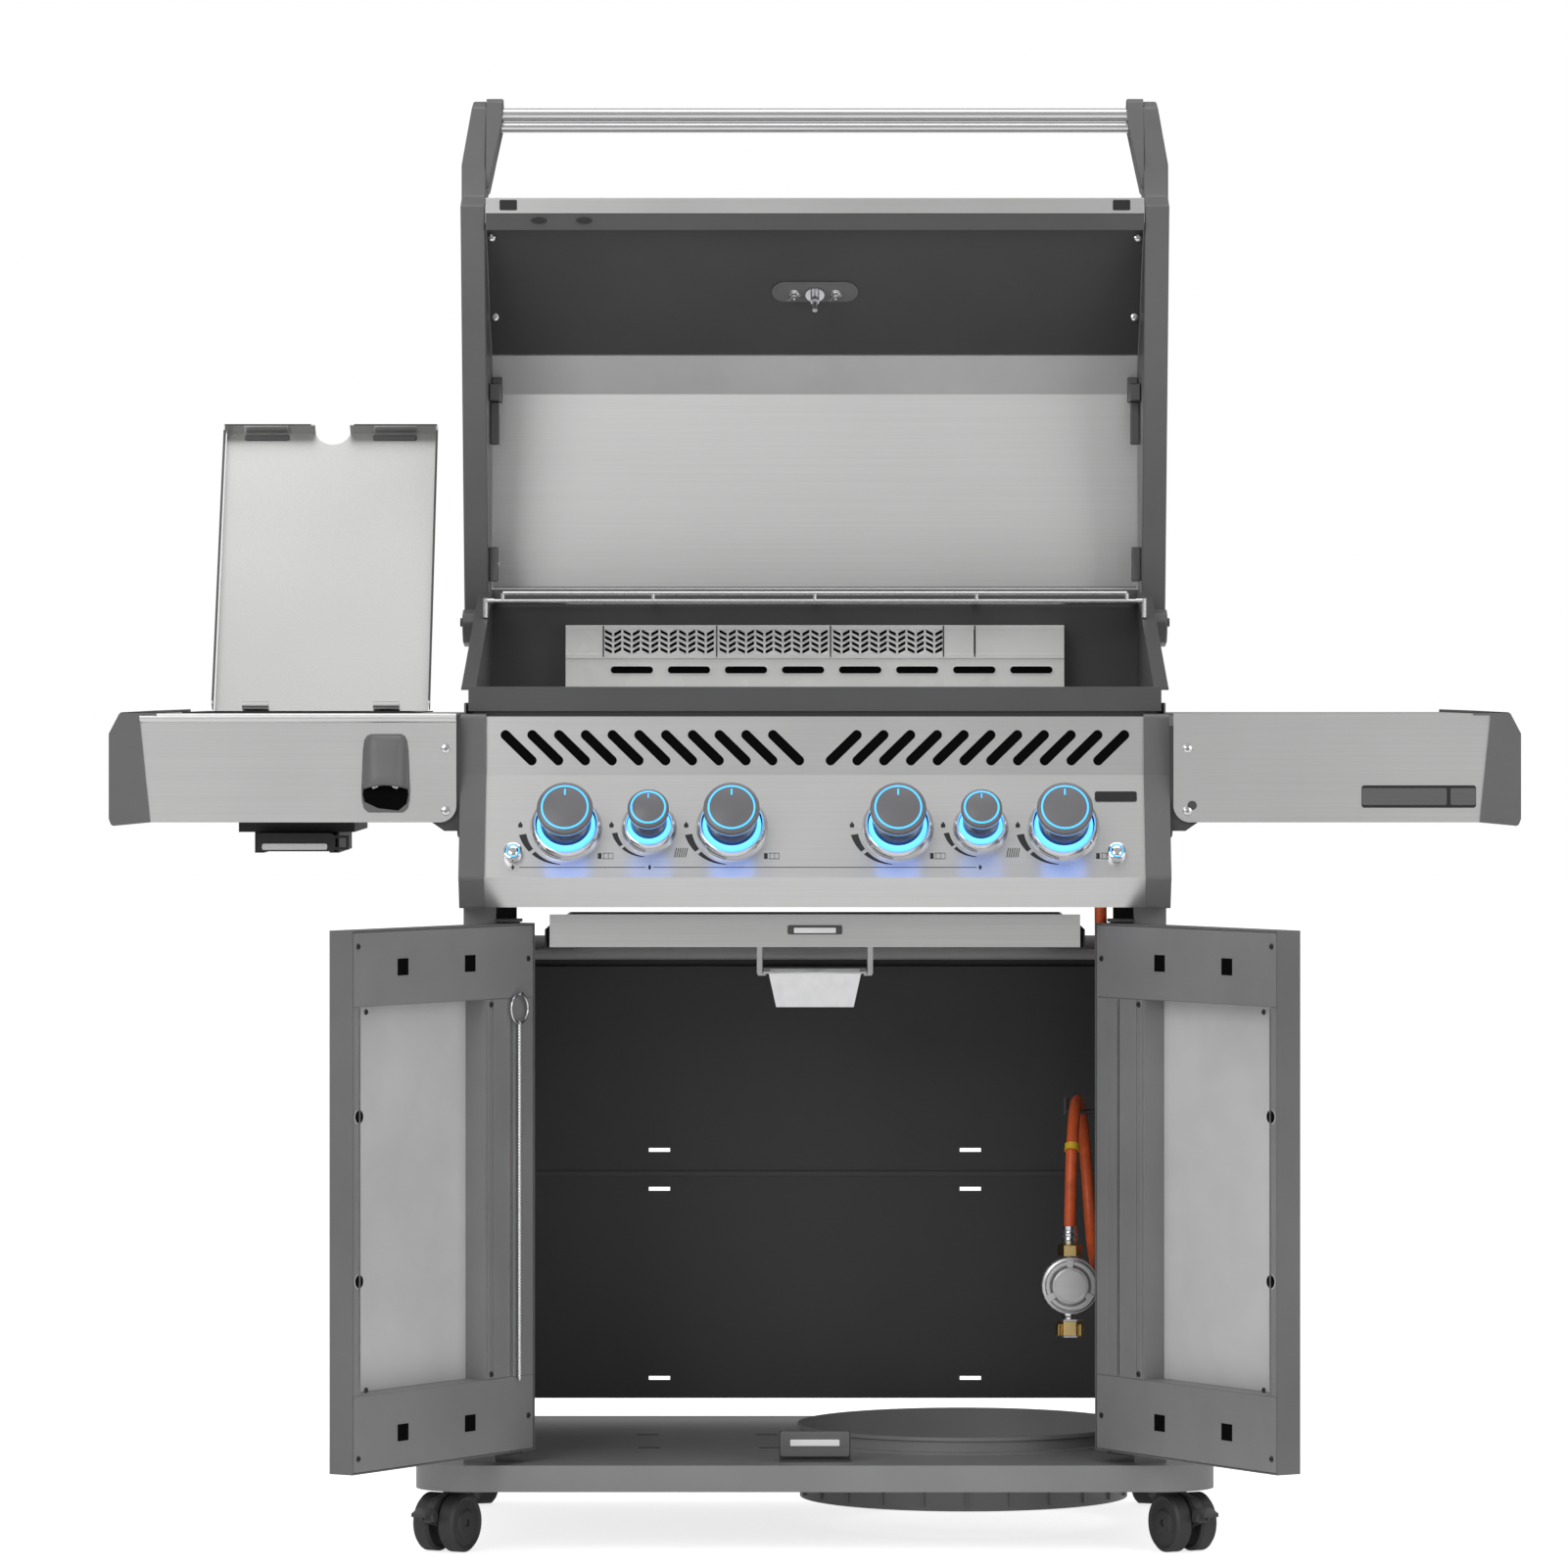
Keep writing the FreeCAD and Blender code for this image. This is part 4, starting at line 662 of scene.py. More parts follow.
# -------------------------------------------------------------------- hood
CAP_SIDE = [(-250, 953), (-262, 985), (-300, 1003), (-352, 1004), (-366, 1008), (-374, 1020),
            (-374, 1032), (-364, 1042), (-340, 1047), (-290, 1052), (-236, 1074), (-180, 1098),
            (-130, 1134), (-96, 1158), (-60, 1174), (-22, 1178), (180, 1177), (206, 1170),
            (230, 1152), (242, 1130), (250, 1100), (256, 1050), (252, 1018), (240, 1005),
            (228, 1001), (218, 1006), (213, 1020), (217, 1036), (224, 1048), (224, 1064)]


def build_hood_caps():
    """Cast end caps: a thick rim with a leaning nose, an inner cheek and a bar bracket."""
    for side, flip in (("left", -1), ("right", 1)):
        mesh = bmesh.new()
        rings = []
        for inset in (379, 383, 407):
            ring = []
            for y, z in CAP_SIDE:
                lean = max(0, -306 - y) * 0.18 if inset == 407 else 0
                ring.append(mesh.verts.new(HOOD @ at(flip * (inset - lean), y, z)))
            rings.append(ring)
        count = len(CAP_SIDE)
        mesh.faces.new(rings[0])
        mesh.faces.new(rings[-1])
        for low, high in zip(rings, rings[1:]):
            for k in range(count):
                n = (k + 1) % count
                mesh.faces.new((low[k], low[n], high[n], high[k]))
        bracket = [(-272, 998), (-352, 1004), (-374, 1012), (-378, 1026), (-367, 1040), (-340, 1046),
                   (-290, 1050), (-268, 1058)]
        inner = [mesh.verts.new(HOOD @ at(flip * (360 + max(0, y + 340) * 0.24), y, z)) for y, z in bracket]
        outer = [mesh.verts.new(HOOD @ at(flip * 379.5, y, z)) for y, z in bracket]
        mesh.faces.new(inner)
        for k in range(len(bracket)):
            n = (k + 1) % len(bracket)
            mesh.faces.new((inner[k], inner[n], outer[n], outer[k]))
        cap = finish_mesh("hood_cap_" + side, mesh, GREY_CAST, "hood", bevel=2.2,
                          segments=3)
        if flip < 0:
            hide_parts("hood_caps")


build_hood_caps()


FRONT_FOOT = Vector((0, -250, 955))
FRONT_HEAD = Vector((0, -87, 1138))


def on_front(share, inset):
    """A (y, z) place in the hood's sloping front, a way in from its outer face."""
    along = (FRONT_HEAD - FRONT_FOOT).normalized()
    spot = FRONT_FOOT.lerp(FRONT_HEAD, share) + inset * Vector((0, along.z, -along.y))
    return spot.y, spot.z


def hood_light_and_shade_sheet(name, foot, head, look):
    """A thin sheet laid inside the hood between two (y, z) places, carrying painted light or painted shade.
    """
    mesh = bmesh.new()
    way = Vector((head[0] - foot[0], head[1] - foot[1])).normalized()
    rise = Vector((way.y, -way.x)) * 0.9
    outline = [foot, head, (head[0] + rise.x, head[1] + rise.y), (foot[0] + rise.x, foot[1] + rise.y)]
    push_outline(mesh, "YZ", outline, -377.8, 377.8, HOOD)
    finish_mesh(name, mesh, look, "hood", smooth=False)


def build_hood_inside():
    """The lip with its slots, the sheets of painted shade and light inside, and the oval thermometer plate.
    """
    lip = bmesh.new()
    push_outline(lip, "YZ", [(-259, 953.6), (-241, 953.6), (-241, 955.4), (-259, 955.4)], -378, 378, HOOD)
    finish_mesh("hood_lip", lip, STEEL, "hood", bevel=0.5)
    # black marks for the lip's slots and oval holes: painted shade seen through them
    slot_shade = bmesh.new()
    for side in (-1, 1):
        middle = side * 352
        outline = rounded_outline((middle - 10, middle + 10), (-256.5, -244.5), 1.5)
        push_outline(slot_shade, "XY", outline, 953.0, 953.7, HOOD)
    for x in (-317, -265):
        outline = [(x + 9 * math.cos(k * math.pi / 12), -233 + 3.4 * math.sin(k * math.pi / 12))
                   for k in range(24)]
        push_outline(slot_shade, "XY", outline, 952.2, 953.2, HOOD)
    finish_mesh("hood_lip_slot_shade", slot_shade, BLACK, "hood", smooth=False)
    # the fold behind the lip: painted shade
    fold = bmesh.new()
    push_outline(fold, "YZ", [(-241, 954.4), (-222, 954.4), (-222, 955.4), (-241, 955.4)], -378, 378, HOOD)
    finish_mesh("hood_fold", fold, HOOD_SHADE, "hood", smooth=False)
    # sheets of painted shade, painted half shade and painted light on the hood's inside front, bend and top
    hood_light_and_shade_sheet("hood_front_shade_sheet", on_front(0.07, 2.1), on_front(0.99, 2.1), HOOD_SHADE)
    hood_light_and_shade_sheet("hood_bend_half_shade_sheet", (-85.4, 1136.2), (-41.6, 1165.4), HOOD_BEND_HALF_SHADE)
    hood_light_and_shade_sheet("hood_top_light_sheet", (-41, 1165.8), (185, 1165.8), HOOD_TOP_LIT)
    middle_y, middle_z = on_front(0.56, 3.4)
    along = (FRONT_HEAD - FRONT_FOOT).normalized()
    inward = HOOD.to_3x3() @ Vector((0, along.z, -along.y))
    across = Vector((1, 0, 0))
    place = Matrix.Translation(HOOD @ at(0, middle_y, middle_z))
    place = place @ Matrix((across, inward.cross(across), inward)).transposed().to_4x4()
    plate = bmesh.new()
    for spread, low, high in ((0, 0, 1.2), (-4, 1.0, 1.8)):
        oval = rounded_outline((-50 - spread, 50 + spread), (-16 - spread, 16 + spread), 15.9 + spread, 10)
        add_flat(plate, oval, place @ Matrix.Translation((0, 0, low * MM)), high - low)
    finish_mesh("thermometer_plate", plate, HOOD_PLATE, "hood", bevel=0.5, segments=3)
    nuts = bmesh.new()
    for x in (-24, 24):
        spot = place @ Matrix.Translation((x * MM, 0, 0.0015))
        stud = [(6, 0), (6, 2), (3.4, 2.4), (3.2, 7), (1.6, 7.4), (1.6, 11), (0, 11)]
        turn_profile(nuts, stud, spot, steps=20)
        for turn in (0.6, 0.6 + math.pi):
            wing = spot @ Matrix.Rotation(turn, 4, "Z") @ Matrix.Rotation(math.pi / 2, 4, "X")
            add_flat(nuts, [(2, 2), (7, 4), (9, 9), (6, 10), (3, 6)], wing, 1.2)
    finish_mesh("wing_nuts", nuts, CHROME, "hood", bevel=0.4)


build_hood_inside()


def build_hood_sides():
    """Small bolted brackets down the inside of both hood cheeks."""
    mesh = bmesh.new()
    for side in (False, True):
        for low, tall in ((1068, 42), (1142, 8)):
            add_block(mesh, (366, 378.5), (-50 if low < 1100 else -60, -30), (low, low + tall), HOOD, side)
        add_block(mesh, (368, 378.5), (140, 180), (1066, 1078), HOOD, side)
        add_block(mesh, (368, 378.5), (-30, 20), (1100, 1112), HOOD, side)
    finish_mesh("hood_brackets", mesh, STEEL_DARK_AND_SHADED, "hood", bevel=1.2)
    spots = [(x, y, z) for x in (-372, 372) for y, z in ((-215, 985), (-128, 1085), (-20, 1106), (160, 1072))]
    screws("hood_side_screws", spots, (0, 0, -1), 5, "hood", HOOD)


build_hood_sides()


# ------------------------------------------------------------------- doors
def build_doors():
    for side, place in DOORS.items():
        mirror = side == "left"
        body = side + "_door"
        back = -256.5
        sheet = bmesh.new()
        add_block(sheet, (15.7, 253.3), (-283.3, -282.6), (194.7, 607.3), place, mirror)
        finish_mesh(side + "_door_inner_sheet", sheet, DOOR_PANEL, body, smooth=False)
        rails = bmesh.new()
        for low, high in ((113.5, 194), (608, 686.5)):
            outline = rounded_outline((4, 344), (low, high), 2)
            push_outline(rails, "XZ", outline, back, back + 1.3, place, mirror)
        finish_mesh(side + "_door_rails", rails, DOOR_GREY, body, bevel=0.5)
        holes = bmesh.new()
        for x in (95, 222):
            for z in (150, 648):
                add_block(holes, (x - 10, x + 10), (back + 0.9, back + 1.6), (z - 9, z + 9), place, mirror)
        for z in (316, 491):
            outline = [(16 + 7 * math.cos(k * math.pi / 8), z + 7 * math.sin(k * math.pi / 8))
                       for k in range(16)]
            push_outline(holes, "XZ", outline, back - 0.4, back + 0.3, place, mirror)
        finish_mesh(side + "_door_holes", holes, SHADE, body, smooth=False)
        channel = bmesh.new()
        for low, high, rise in ((256, 262, 1.2), (268, 296, 0.9), (305, 312, 1.2), (326, 344, 0.8)):
            add_block(channel, (low, high), (back, back + rise), (194.5, 607.5), place, mirror)
        finish_mesh(side + "_door_channel", channel, DOOR_GREY, body, bevel=0.4)
        edge = bmesh.new()
        add_block(edge, (299.5, 301.3), (back, back + 1.6), (196, 606), place, mirror)
        add_block(edge, (14.2, 16.2), (back, back + 1.4), (196, 606), place, mirror)
        finish_mesh(side + "_door_bright_edges", edge, STEEL_UP, body, smooth=False)
        flip = -1 if mirror else 1
        spots = [(flip * x, back + 1.3, z) for x, z in ((26, 200), (26, 602), (262, 200), (262, 602),
                                                        (12, 128), (12, 672), (334, 150), (334, 650))]
        screws(side + "_door_screws", spots, (0, 1, 0), 3.2, body, place, INK)
    chain = bmesh.new()
    spot = (-312, -251.5)
    for k in range(118):
        turn_profile(chain, [(0, -1.9), (1.9, -1.2), (2.2, 0), (1.9, 1.2), (0, 1.9)],
                     DOORS["left"] @ Matrix.Translation(at(spot[0], spot[1], 580 - 3.3 * k)), steps=8)
    finish_mesh("match_chain", chain, CHROME, "left_door")


build_doors()


# ----------------------------------------------------------------- shelves
def build_shelf_details():
    for side, body in (("left", "cart"), ("right", "right_shelf")):
        flip = -1 if side == "left" else 1
        spots = [(flip * (407 if side == "right" else 403), -290, z) for z in (880, 812)]
        screws(side + "_shelf_screws", spots, (0, -1, 0), 5.4, body)
        strip = bmesh.new()
        ends = (flip * 719, flip * 758)
        push_outline(strip, "XZ", [(ends[0], 918.6), (ends[1], 918.6), (ends[1], 919.8), (ends[0], 921.8)],
                     -293, 193)
        finish_mesh(side + "_cap_strip", strip, GREY_DARK, body, bevel=0.5)
    roll = bmesh.new()
    turns = [k * math.pi / 8 for k in range(9)]
    arc = [(-290.2 - 2.2 * math.sin(turn), 913.4 - 5 * math.cos(turn)) for turn in turns]
    push_outline(roll, "YZ", [(-288, 908.4)] + arc + [(-288, 918.4)], -738, -392)
    finish_mesh("left_shelf_roll", roll, STEEL, "cart")
    badge = bmesh.new()
    outline = rounded_outline((597, 722), (815.5, 840), 3)
    push_outline(badge, "XZ", outline, -291.2, -290)
    finish_mesh("shelf_badge", badge, [BADGE], "right_shelf", bevel=0.4)
    rim = bmesh.new()
    for x in ((597.5, 690), (694, 721.5)):
        push_outline(rim, "XZ", rounded_outline(x, (818.5, 837), 2), -291.7, -291.1)
    finish_mesh("shelf_badge_fields", rim, [STEEL_DARK_AND_SHADED], "right_shelf", bevel=0.2)


build_shelf_details()


def build_lid_details():
    """The lid's folded edges, its corner tabs and the pads on its front edge."""
    edges = bmesh.new()
    for side in (-1, 1):
        middle = -566 + side * 124.1
        add_block(edges, (middle - 1, middle + 1), (-232, 136), (920.3, 921.3), LID)
    for span in ((-690, -589), (-539, -442)):
        add_block(edges, span, (-240.2, -238.6), (920.3, 921.3), LID)
    finish_mesh("lid_edges", edges, GREY_DARK, "side_lid", bevel=0.3)
    tabs = bmesh.new()
    # tabs in dark steel: painted shade and reflection under the lid's front edge
    for low, high in ((-667, -615), (-517, -466)):
        outline = rounded_outline((low, high), (-236, -229), 2)
        push_outline(tabs, "XY", outline, 936.4, 938.2, LID)
    finish_mesh("lid_tabs", tabs, STEEL_DARK_AND_SHADED, "side_lid", bevel=0.6)
    pads = bmesh.new()
    for low, high in ((-668, -616), (-516, -465)):
        push_outline(pads, "XY", rounded_outline((low, high), (-241.2, -238), 1), 922, 936, LID)
    finish_mesh("lid_front_pads", pads, STEEL_UP, "side_lid", bevel=0.6)


build_lid_details()


def build_opener():
    """A moulded wall opener: a domed shield over a dark mouth."""
    x = -468.7
    mesh = bmesh.new()
    rows = [(896, 17, 1), (894, 21, 5), (889, 23.5, 8), (878, 25, 9.5), (866, 25.6, 11),
            (852, 26.2, 14), (843, 26.6, 16), (840, 26.2, 15)]
    rings = []
    for z, half, deep in rows:
        ring = []
        for k in range(17):
            u = -1 + 2 * k / 16
            sag = 5 * u * u if z < 860 else 0
            y = -290 - deep * (1 - abs(u) ** 5)
            ring.append(mesh.verts.new(at(x + half * u, y, z - sag)))
        rings.append(ring)
    for a, b in zip(rings, rings[1:]):
        for k in range(16):
            mesh.faces.new((a[k], a[k + 1], b[k + 1], b[k]))
    shell = finish_mesh("opener_shield", mesh, GREY_CAST, "cart")
    thick = shell.modifiers.new("thick", "SOLIDIFY")
    thick.thickness = 0.002
    thick.offset = -1
    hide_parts("bottle_opener")
    plate = bmesh.new()
    outline = [(x - 26.6, 836), (x - 26, 824), (x - 24, 815), (x - 19, 810.5), (x + 19, 810.5),
               (x + 24, 815), (x + 26, 824), (x + 26.6, 836), (x + 21, 866), (x - 21, 866)]
    push_outline(plate, "XZ", outline, -293.5, -290)
    finish_mesh("opener_plate", plate, GREY_CAST, "cart", bevel=1.2, segments=3)
    mouth = bmesh.new()
    outline = [(x - 25, 830), (x - 23, 822), (x - 8, 815), (x + 14, 812.5), (x + 23, 820), (x + 25, 830),
               (x + 24, 837), (x + 12, 841.5), (x, 842.5), (x - 12, 841.5), (x - 24, 837)]
    push_outline(mouth, "XZ", outline, -294.2, -293)
    finish_mesh("opener_mouth", mouth, SHADE, "cart", bevel=0.4)
    teeth = bmesh.new()
    for side in (-1, 1):
        push_outline(teeth, "XZ", [(x + side * 6, 842), (x + side * 16, 840.5), (x + side * 13, 836),
                                   (x + side * 8, 838)], -303, -296)
    finish_mesh("opener_teeth", teeth, CHROME, "cart", bevel=0.6)


build_opener()


# --------------------------------------------------------------- regulator
def build_regulator():
    """Turned rims, a face plate with three webs, a brass union and a brass outlet nut."""
    x, y, z = 286, -55, 277
    face = facing(at(x, y - 15, z), (0, -1, 0))
    disc = bmesh.new()
    profile = [(31.5, -16), (31.5, -2), (30.5, 0.6), (28.5, 1.2), (27, 0.2), (26.4, -0.6), (24, -0.6),
               (23, 1.0), (20.6, 2.4), (20, 3.6), (18, 4.2), (16.8, 3.6), (16.2, 3.0), (0, 3.0)]
    turn_profile(disc, profile, face, steps=64)
    finish_mesh("regulator_disc", disc, ALLOY, "cart")
    label = bmesh.new()
    turn_profile(label, [(14.5, 2.8), (14.5, 3.5), (0, 3.5)], face, steps=40)
    finish_mesh("regulator_plate", label, [STEEL_UP], "cart")
    webs = bmesh.new()
    for k in range(3):
        web = face @ Matrix.Rotation(2.1 + 2 * math.pi * k / 3, 4, "Z")
        add_flat(webs, [(-3, 19), (3, 19), (4.5, 29), (-4.5, 29)], web, 2.6)
    for k in range(28):
        knurl = face @ Matrix.Rotation(2 * math.pi * k / 28, 4, "Z")
        add_flat(webs, [(-0.8, 30.4), (0.8, 30.4), (0.8, 32), (-0.8, 32)],
                 knurl @ Matrix.Translation((0, 0, -0.012)), 10)
    finish_mesh("regulator_webs", webs, ALLOY, "cart", bevel=0.4)
    union = bmesh.new()
    nut = [(x + 14 * math.cos(k * math.pi / 3), y + 14 * math.sin(k * math.pi / 3)) for k in range(6)]
    push_outline(union, "XY", nut, z + 32.5, z + 45.2)
    turn_profile(union, [(8, 45), (9.4, 46), (9.4, 48), (8.2, 49), (0, 49)],
                 Matrix.Translation(at(x, y, z)), steps=32)
    finish_mesh("regulator_union", union, BRASS, "cart", bevel=1.0)
    ferrule = bmesh.new()
    turn_profile(ferrule, [(9.3, 49), (9.3, 53), (8.7, 54), (9.3, 55), (9.3, 60), (8.7, 61), (9.3, 62),
                           (9.3, 66), (7, 66.4)], Matrix.Translation(at(x, y, z)), steps=32)
    finish_mesh("regulator_ferrule", ferrule, CHROME, "cart")
    outlet = bmesh.new()
    nut = [(x + 15.4 * math.cos(k * math.pi / 3), y + 15.4 * math.sin(k * math.pi / 3)) for k in range(6)]
    push_outline(outlet, "XY", nut, z - 57, z - 39)
    for k in range(3):
        wing = facing(at(x, y, z - 57), (0, 0, 1)) @ Matrix.Rotation(1 + 2 * math.pi * k / 3, 4, "Z")
        add_flat(outlet, [(-4, 12), (4, 12), (4, 17), (-4, 17)], wing, 14)
    finish_mesh("regulator_nut", outlet, BRASS, "cart", bevel=1.4)
    neck = bmesh.new()
    turn_profile(neck, [(8.4, -41), (8.4, -36), (10.5, -34), (10.5, -28), (8, -27)],
                 Matrix.Translation(at(x, y, z)), steps=32)
    finish_mesh("regulator_neck", neck, CHROME, "cart")


build_regulator()


# ------------------------------------------------------------- rear burner
def chevron_plate(mesh, left, right, low, high, y, rows, columns):
    """A plate pierced by leaning slots that change direction column by column."""
    wide = (right - left) / columns
    tall = (high - low) / rows
    for c in range(columns):
        lean = 1 if c % 2 else -1
        for r in range(rows):
            x0, z0 = left + c * wide, low + r * tall
            outer = [(x0, z0), (x0 + wide, z0), (x0 + wide, z0 + tall), (x0, z0 + tall)]
            mx, mz = x0 + wide / 2, z0 + tall / 2
            half, rise, thick = wide * 0.38, tall * 0.62, tall * 0.27
            inner = [(mx - half, mz - lean * rise * 0.5 - thick), (mx + half, mz + lean * rise * 0.5 - thick),
                     (mx + half, mz + lean * rise * 0.5 + thick), (mx - half, mz - lean * rise * 0.5 + thick)]
            a = [mesh.verts.new(at(px, y, pz)) for px, pz in outer]
            b = [mesh.verts.new(at(px, y, pz)) for px, pz in inner]
            for k in range(4):
                n = (k + 1) % 4
                mesh.faces.new((a[k], a[n], b[n], b[k]))


def build_rear_burner():
    mesh = bmesh.new()
    sections = ((-243, -115), (-111, 16), (20, 148))
    for left, right in sections:
        chevron_plate(mesh, left, right, 986, 1013, 187.2, 4, 12)
    screen = finish_mesh("rear_burner_screen", mesh, BURNER_PAINTED_REFLECTION, "cart", smooth=False)
    thick = screen.modifiers.new("thick", "SOLIDIFY")
    thick.thickness = 0.0008
    dark = bmesh.new()
    add_block(dark, (-242, 147), (188.6, 189.2), (985, 1014))
    finish_mesh("rear_burner_shade", dark, SHADE, "cart", smooth=False)
    face = bmesh.new()
    for a, b in ((-287, -243), (148, 183), (185, 287), (-115, -111), (16, 20)):
        add_block(face, (a, b), (186.6, 187.9), (982, 1018))
    add_block(face, (-287, 287), (186.4, 187.9), (1013, 1018.5))
    add_block(face, (-287, 287), (186.2, 187.9), (980, 986))
    finish_mesh("rear_burner_face", face, BURNER_PAINTED_REFLECTION, "cart", bevel=0.4)
    seams = bmesh.new()
    for x in (-243.5, -113, 18, 148, 184):
        add_block(seams, (x - 0.7, x + 0.7), (185.9, 186.6), (982, 1018))
    finish_mesh("rear_burner_seams", seams, BLACK, "cart", smooth=False)
    lips = bmesh.new()
    for i in range(8):
        x = -235 + i * 65.7
        push_outline(lips, "XZ", rounded_outline((x - 1.5, x + 50.1), (961.5, 972.5), 5), 187.0, 187.9)
    finish_mesh("rear_slot_lips", lips, BURNER_PAINTED_REFLECTION, "cart", bevel=0.5)
    holes = bmesh.new()
    for i in range(8):
        x = -235 + i * 65.7
        push_outline(holes, "XZ", rounded_outline((x, x + 48.6), (963, 971), 3.9), 186.6, 187.1)
    finish_mesh("rear_slot_dark", holes, SHADE, "cart", smooth=False)


build_rear_burner()


# ---------------------------------------------------------------- low parts
def build_tray_details():
    mesh = bmesh.new()
    push_outline(mesh, "XZ", rounded_outline((-30, 30), (676, 686), 2), -254.75, -254.3)
    finish_mesh("tray_catch_case", mesh, GREY_DARK, "drip_tray", bevel=0.3)
    bar = bmesh.new()
    push_outline(bar, "XZ", rounded_outline((-23, 23), (677.6, 683.4), 1), -254.95, -254.6)
    finish_mesh("tray_catch_bar", bar, BRIGHT, "drip_tray", bevel=0.3)
    case = bmesh.new()
    push_outline(case, "XZ", rounded_outline((-38, 38), (103, 131), 3), -253.0, -247)
    finish_mesh("base_catch_case", case, GREY_CAST, "cart", bevel=0.8)
    bar = bmesh.new()
    push_outline(bar, "XZ", rounded_outline((-27, 27), (115, 122), 1), -253.2, -252.8)
    finish_mesh("base_catch_bar", bar, BRIGHT, "cart", bevel=0.3)
    strip = bmesh.new()
    push_outline(strip, "XZ", rounded_outline((-573 - 36, -573 + 36), (768, 775), 2), -215.4, -214)
    finish_mesh("side_tray_strip", strip, STEEL_UP, "side_drip_tray", bevel=0.3)
    edge = bmesh.new()
    push_outline(edge, "XZ", rounded_outline((-573 - 41, -573 + 41), (783, 786.6), 1), -215, -213.6)
    finish_mesh("side_tray_edge", edge, BLACK, "side_drip_tray", bevel=0.3)


build_tray_details()


def build_cabinet_details():
    """The rounded rail under the tray with a painted highlight, and the seam between the two back sheets."""
    rail = bmesh.new()
    outline = [(228.4 - 3 * math.cos(math.radians(a)), 639 + 7 * math.sin(math.radians(a)))
               for a in range(-90, 91, 15)]
    push_outline(rail, "YZ", [(238, 632)] + outline + [(238, 646)], -344, 344)
    finish_mesh("rear_rail_painted_highlight", rail, RAIL_HIGHLIGHT, "cart")
    seam = bmesh.new()
    push_outline(seam, "YZ", [(238.6, 381), (240, 381), (240, 388), (238.6, 386.4)], -378, 378)
    finish_mesh("back_seam", seam, GREY_DARK, "cart", bevel=0.3)
    # near-black patches in the base's slots: painted shade
    shade = bmesh.new()
    for x, y in ((-185, -95), (-50, -95), (-190, 60), (-55, 60)):
        push_outline(shade, "XY", rounded_outline((x - 12.3, x + 12.3), (y, y + 5), 2), 97.9, 98.2)
    finish_mesh("base_slot_shade", shade, SHADE, "cart", smooth=False)


build_cabinet_details()


def build_collar_ribs():
    """Upright ribs round the inside of the bottle ring."""
    mesh = bmesh.new()
    ring_x, ring_y, ribs = 168, 20, 24
    middle = at(ring_x, ring_y, 0)
    for k in range(ribs):
        turn = Matrix.Translation(middle) @ Matrix.Rotation(2 * math.pi * k / ribs, 4, "Z")
        rib = turn @ Matrix.Translation(-middle)
        add_block(mesh, (ring_x + 184.5, ring_x + 188), (ring_y - 1, ring_y + 1), (38, 96), rib)
    finish_mesh("collar_ribs", mesh, BASE_GREY, "cart", bevel=0.4)


build_collar_ribs()


# --------------------------------------------------------- light and stage
def build_stage():
    floor = bmesh.new()
    half = 30
    corners = ((-half, -half), (half, -half), (half, half), (-half, half))
    floor.faces.new([floor.verts.new((x, y, 0)) for x, y in corners])
    data = bpy.data.meshes.new("studio_floor")
    floor.to_mesh(data)
    floor.free()
    look = Look("studio_paper", (0.93, 0.93, 0.93), 0.9)
    look.vary_colour(look.noise(0.8, detail=1), 0.01)
    look.shader.inputs["Emission Color"].default_value = (1, 1, 1, 1)
    seen = look.tree.nodes.new("ShaderNodeLightPath").outputs["Is Camera Ray"]
    look.tree.links.new(look.span(seen, 0.12, 0.75), look.shader.inputs["Emission Strength"])
    data.materials.append(look.material)
    thing = bpy.data.objects.new("studio_floor", data)
    bpy.context.scene.collection.objects.link(thing)


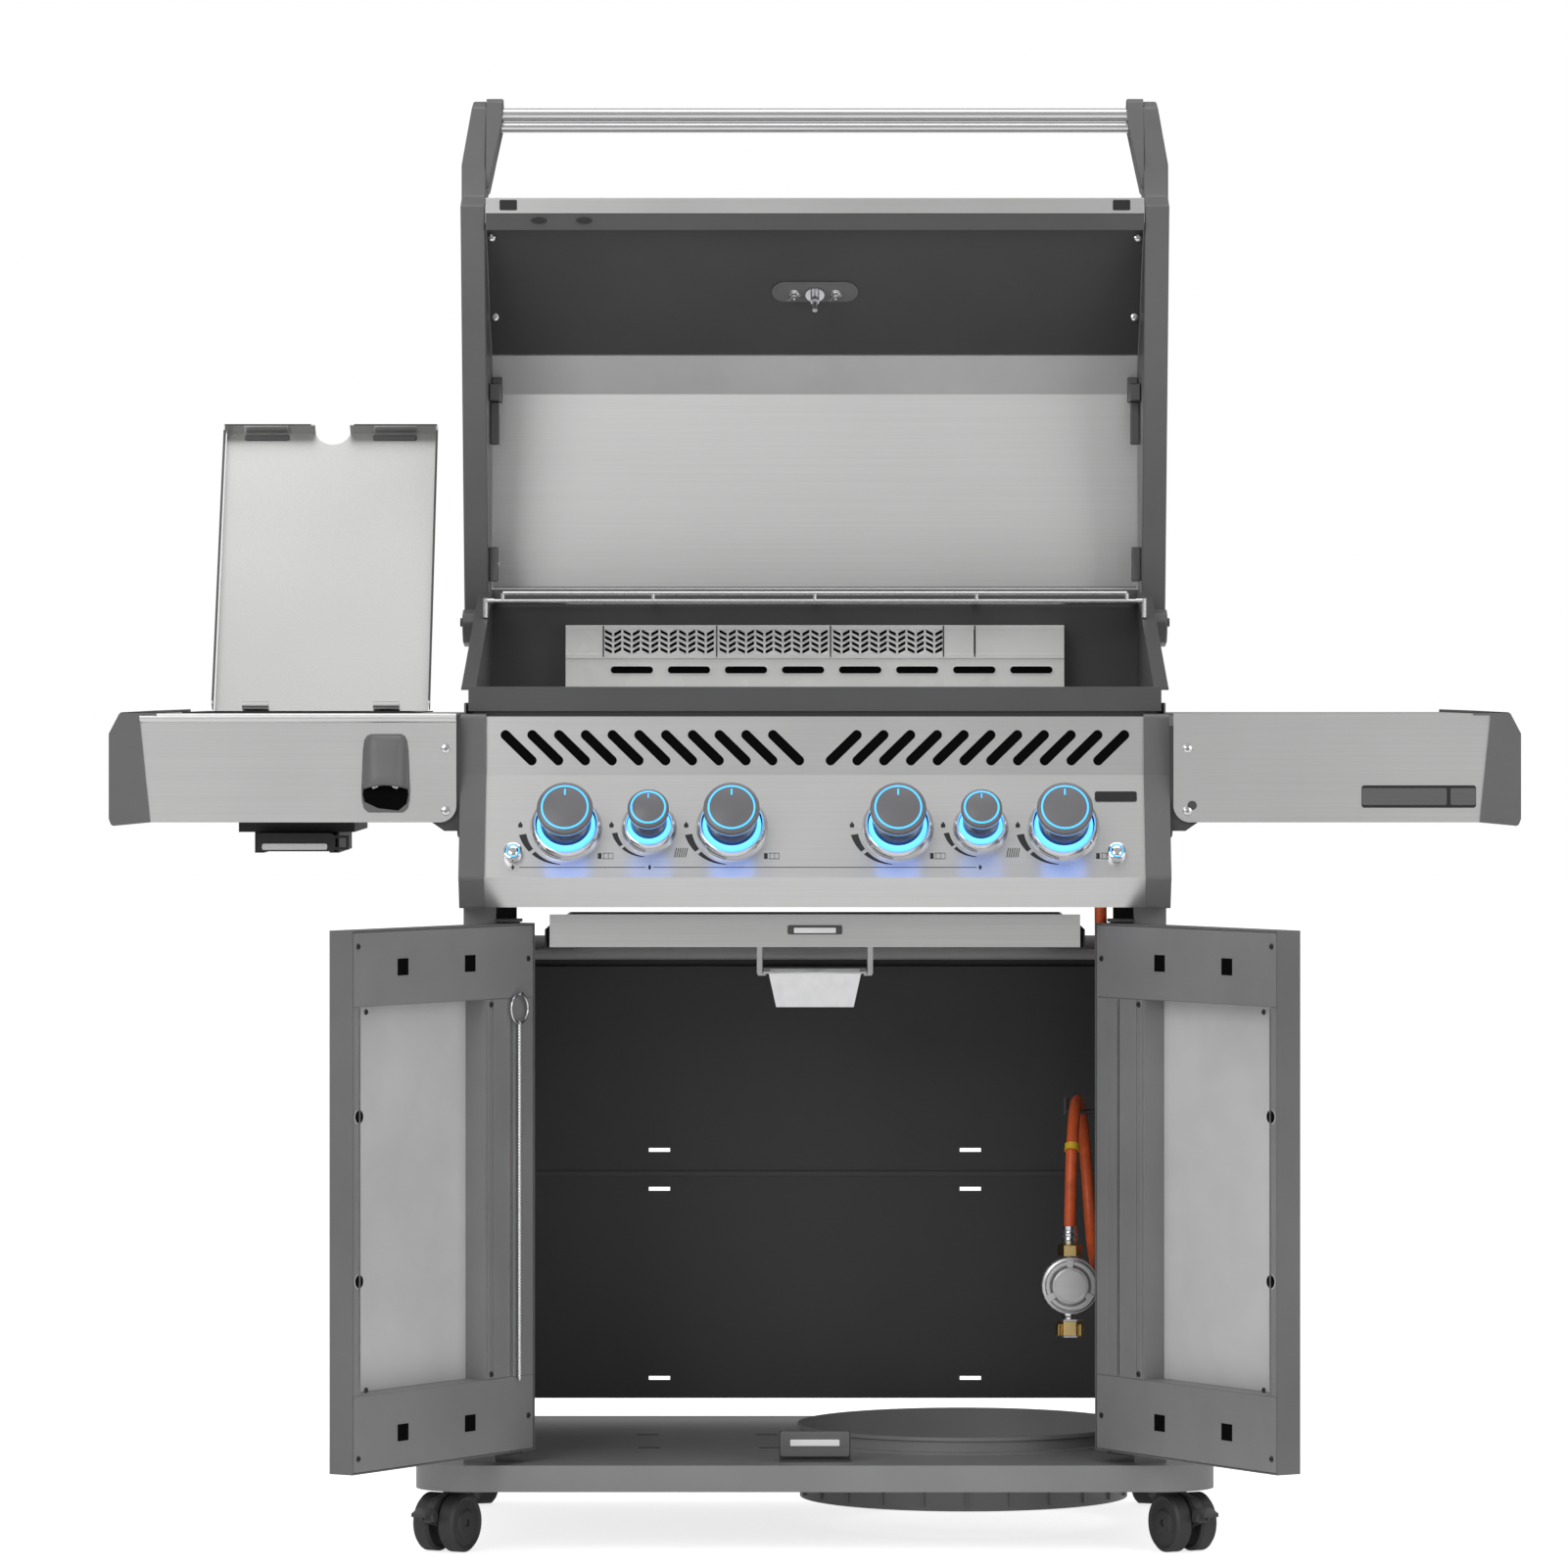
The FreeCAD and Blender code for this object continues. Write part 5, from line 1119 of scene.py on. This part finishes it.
def softbox(name, place, target, size, power):
    lamp = bpy.data.lights.new(name, "AREA")
    lamp.shape = "RECTANGLE"
    lamp.size, lamp.size_y = size
    lamp.energy = power
    thing = bpy.data.objects.new(name, lamp)
    bpy.context.scene.collection.objects.link(thing)
    thing.location = place
    way = Vector(target) - Vector(place)
    thing.rotation_euler = way.to_track_quat("-Z", "Y").to_euler()


def build_light():
    world = bpy.data.worlds.new("studio")
    bpy.context.scene.world = world
    world.use_nodes = True
    tree = world.node_tree
    back = tree.nodes["Background"]
    place = tree.nodes.new("ShaderNodeTexCoord")
    parts = tree.nodes.new("ShaderNodeSeparateXYZ")
    tree.links.new(place.outputs["Generated"], parts.inputs["Vector"])
    spread = tree.nodes.new("ShaderNodeMapRange")
    spread.inputs["From Min"].default_value = -1
    spread.inputs["From Max"].default_value = 1
    tree.links.new(parts.outputs["Z"], spread.inputs["Value"])
    ramp = tree.nodes.new("ShaderNodeValToRGB")
    ramp.color_ramp.elements[0].color = (0.25, 0.25, 0.25, 1)
    ramp.color_ramp.elements[1].color = (1.0, 1.0, 1.0, 1)
    ramp.color_ramp.elements[0].position = 0.35
    ramp.color_ramp.elements[1].position = 0.75
    tree.links.new(spread.outputs["Result"], ramp.inputs["Fac"])
    tree.links.new(ramp.outputs["Color"], back.inputs["Color"])
    back.inputs["Strength"].default_value = 0.5
    paper = tree.nodes.new("ShaderNodeBackground")
    paper.inputs["Color"].default_value = (1, 1, 1, 1)
    seen = tree.nodes.new("ShaderNodeLightPath")
    mix = tree.nodes.new("ShaderNodeMixShader")
    tree.links.new(seen.outputs["Is Camera Ray"], mix.inputs["Fac"])
    tree.links.new(back.outputs["Background"], mix.inputs[1])
    tree.links.new(paper.outputs["Background"], mix.inputs[2])
    tree.links.new(mix.outputs["Shader"], tree.nodes["World Output"].inputs["Surface"])
    softbox("key", (-2.6, -5.0, 3.2), (0, 0, 0.9), (2.6, 3.2), 88)
    softbox("fill", (3.4, -4.6, 2.2), (0, 0, 0.8), (2.4, 2.8), 45)
    softbox("top", (0, -0.4, 4.6), (0, 0.1, 0.9), (3.4, 2.6), 55)
    scene = bpy.context.scene
    scene.view_settings.view_transform = "Standard"
    scene.view_settings.look = "None"


build_stage()
build_light()
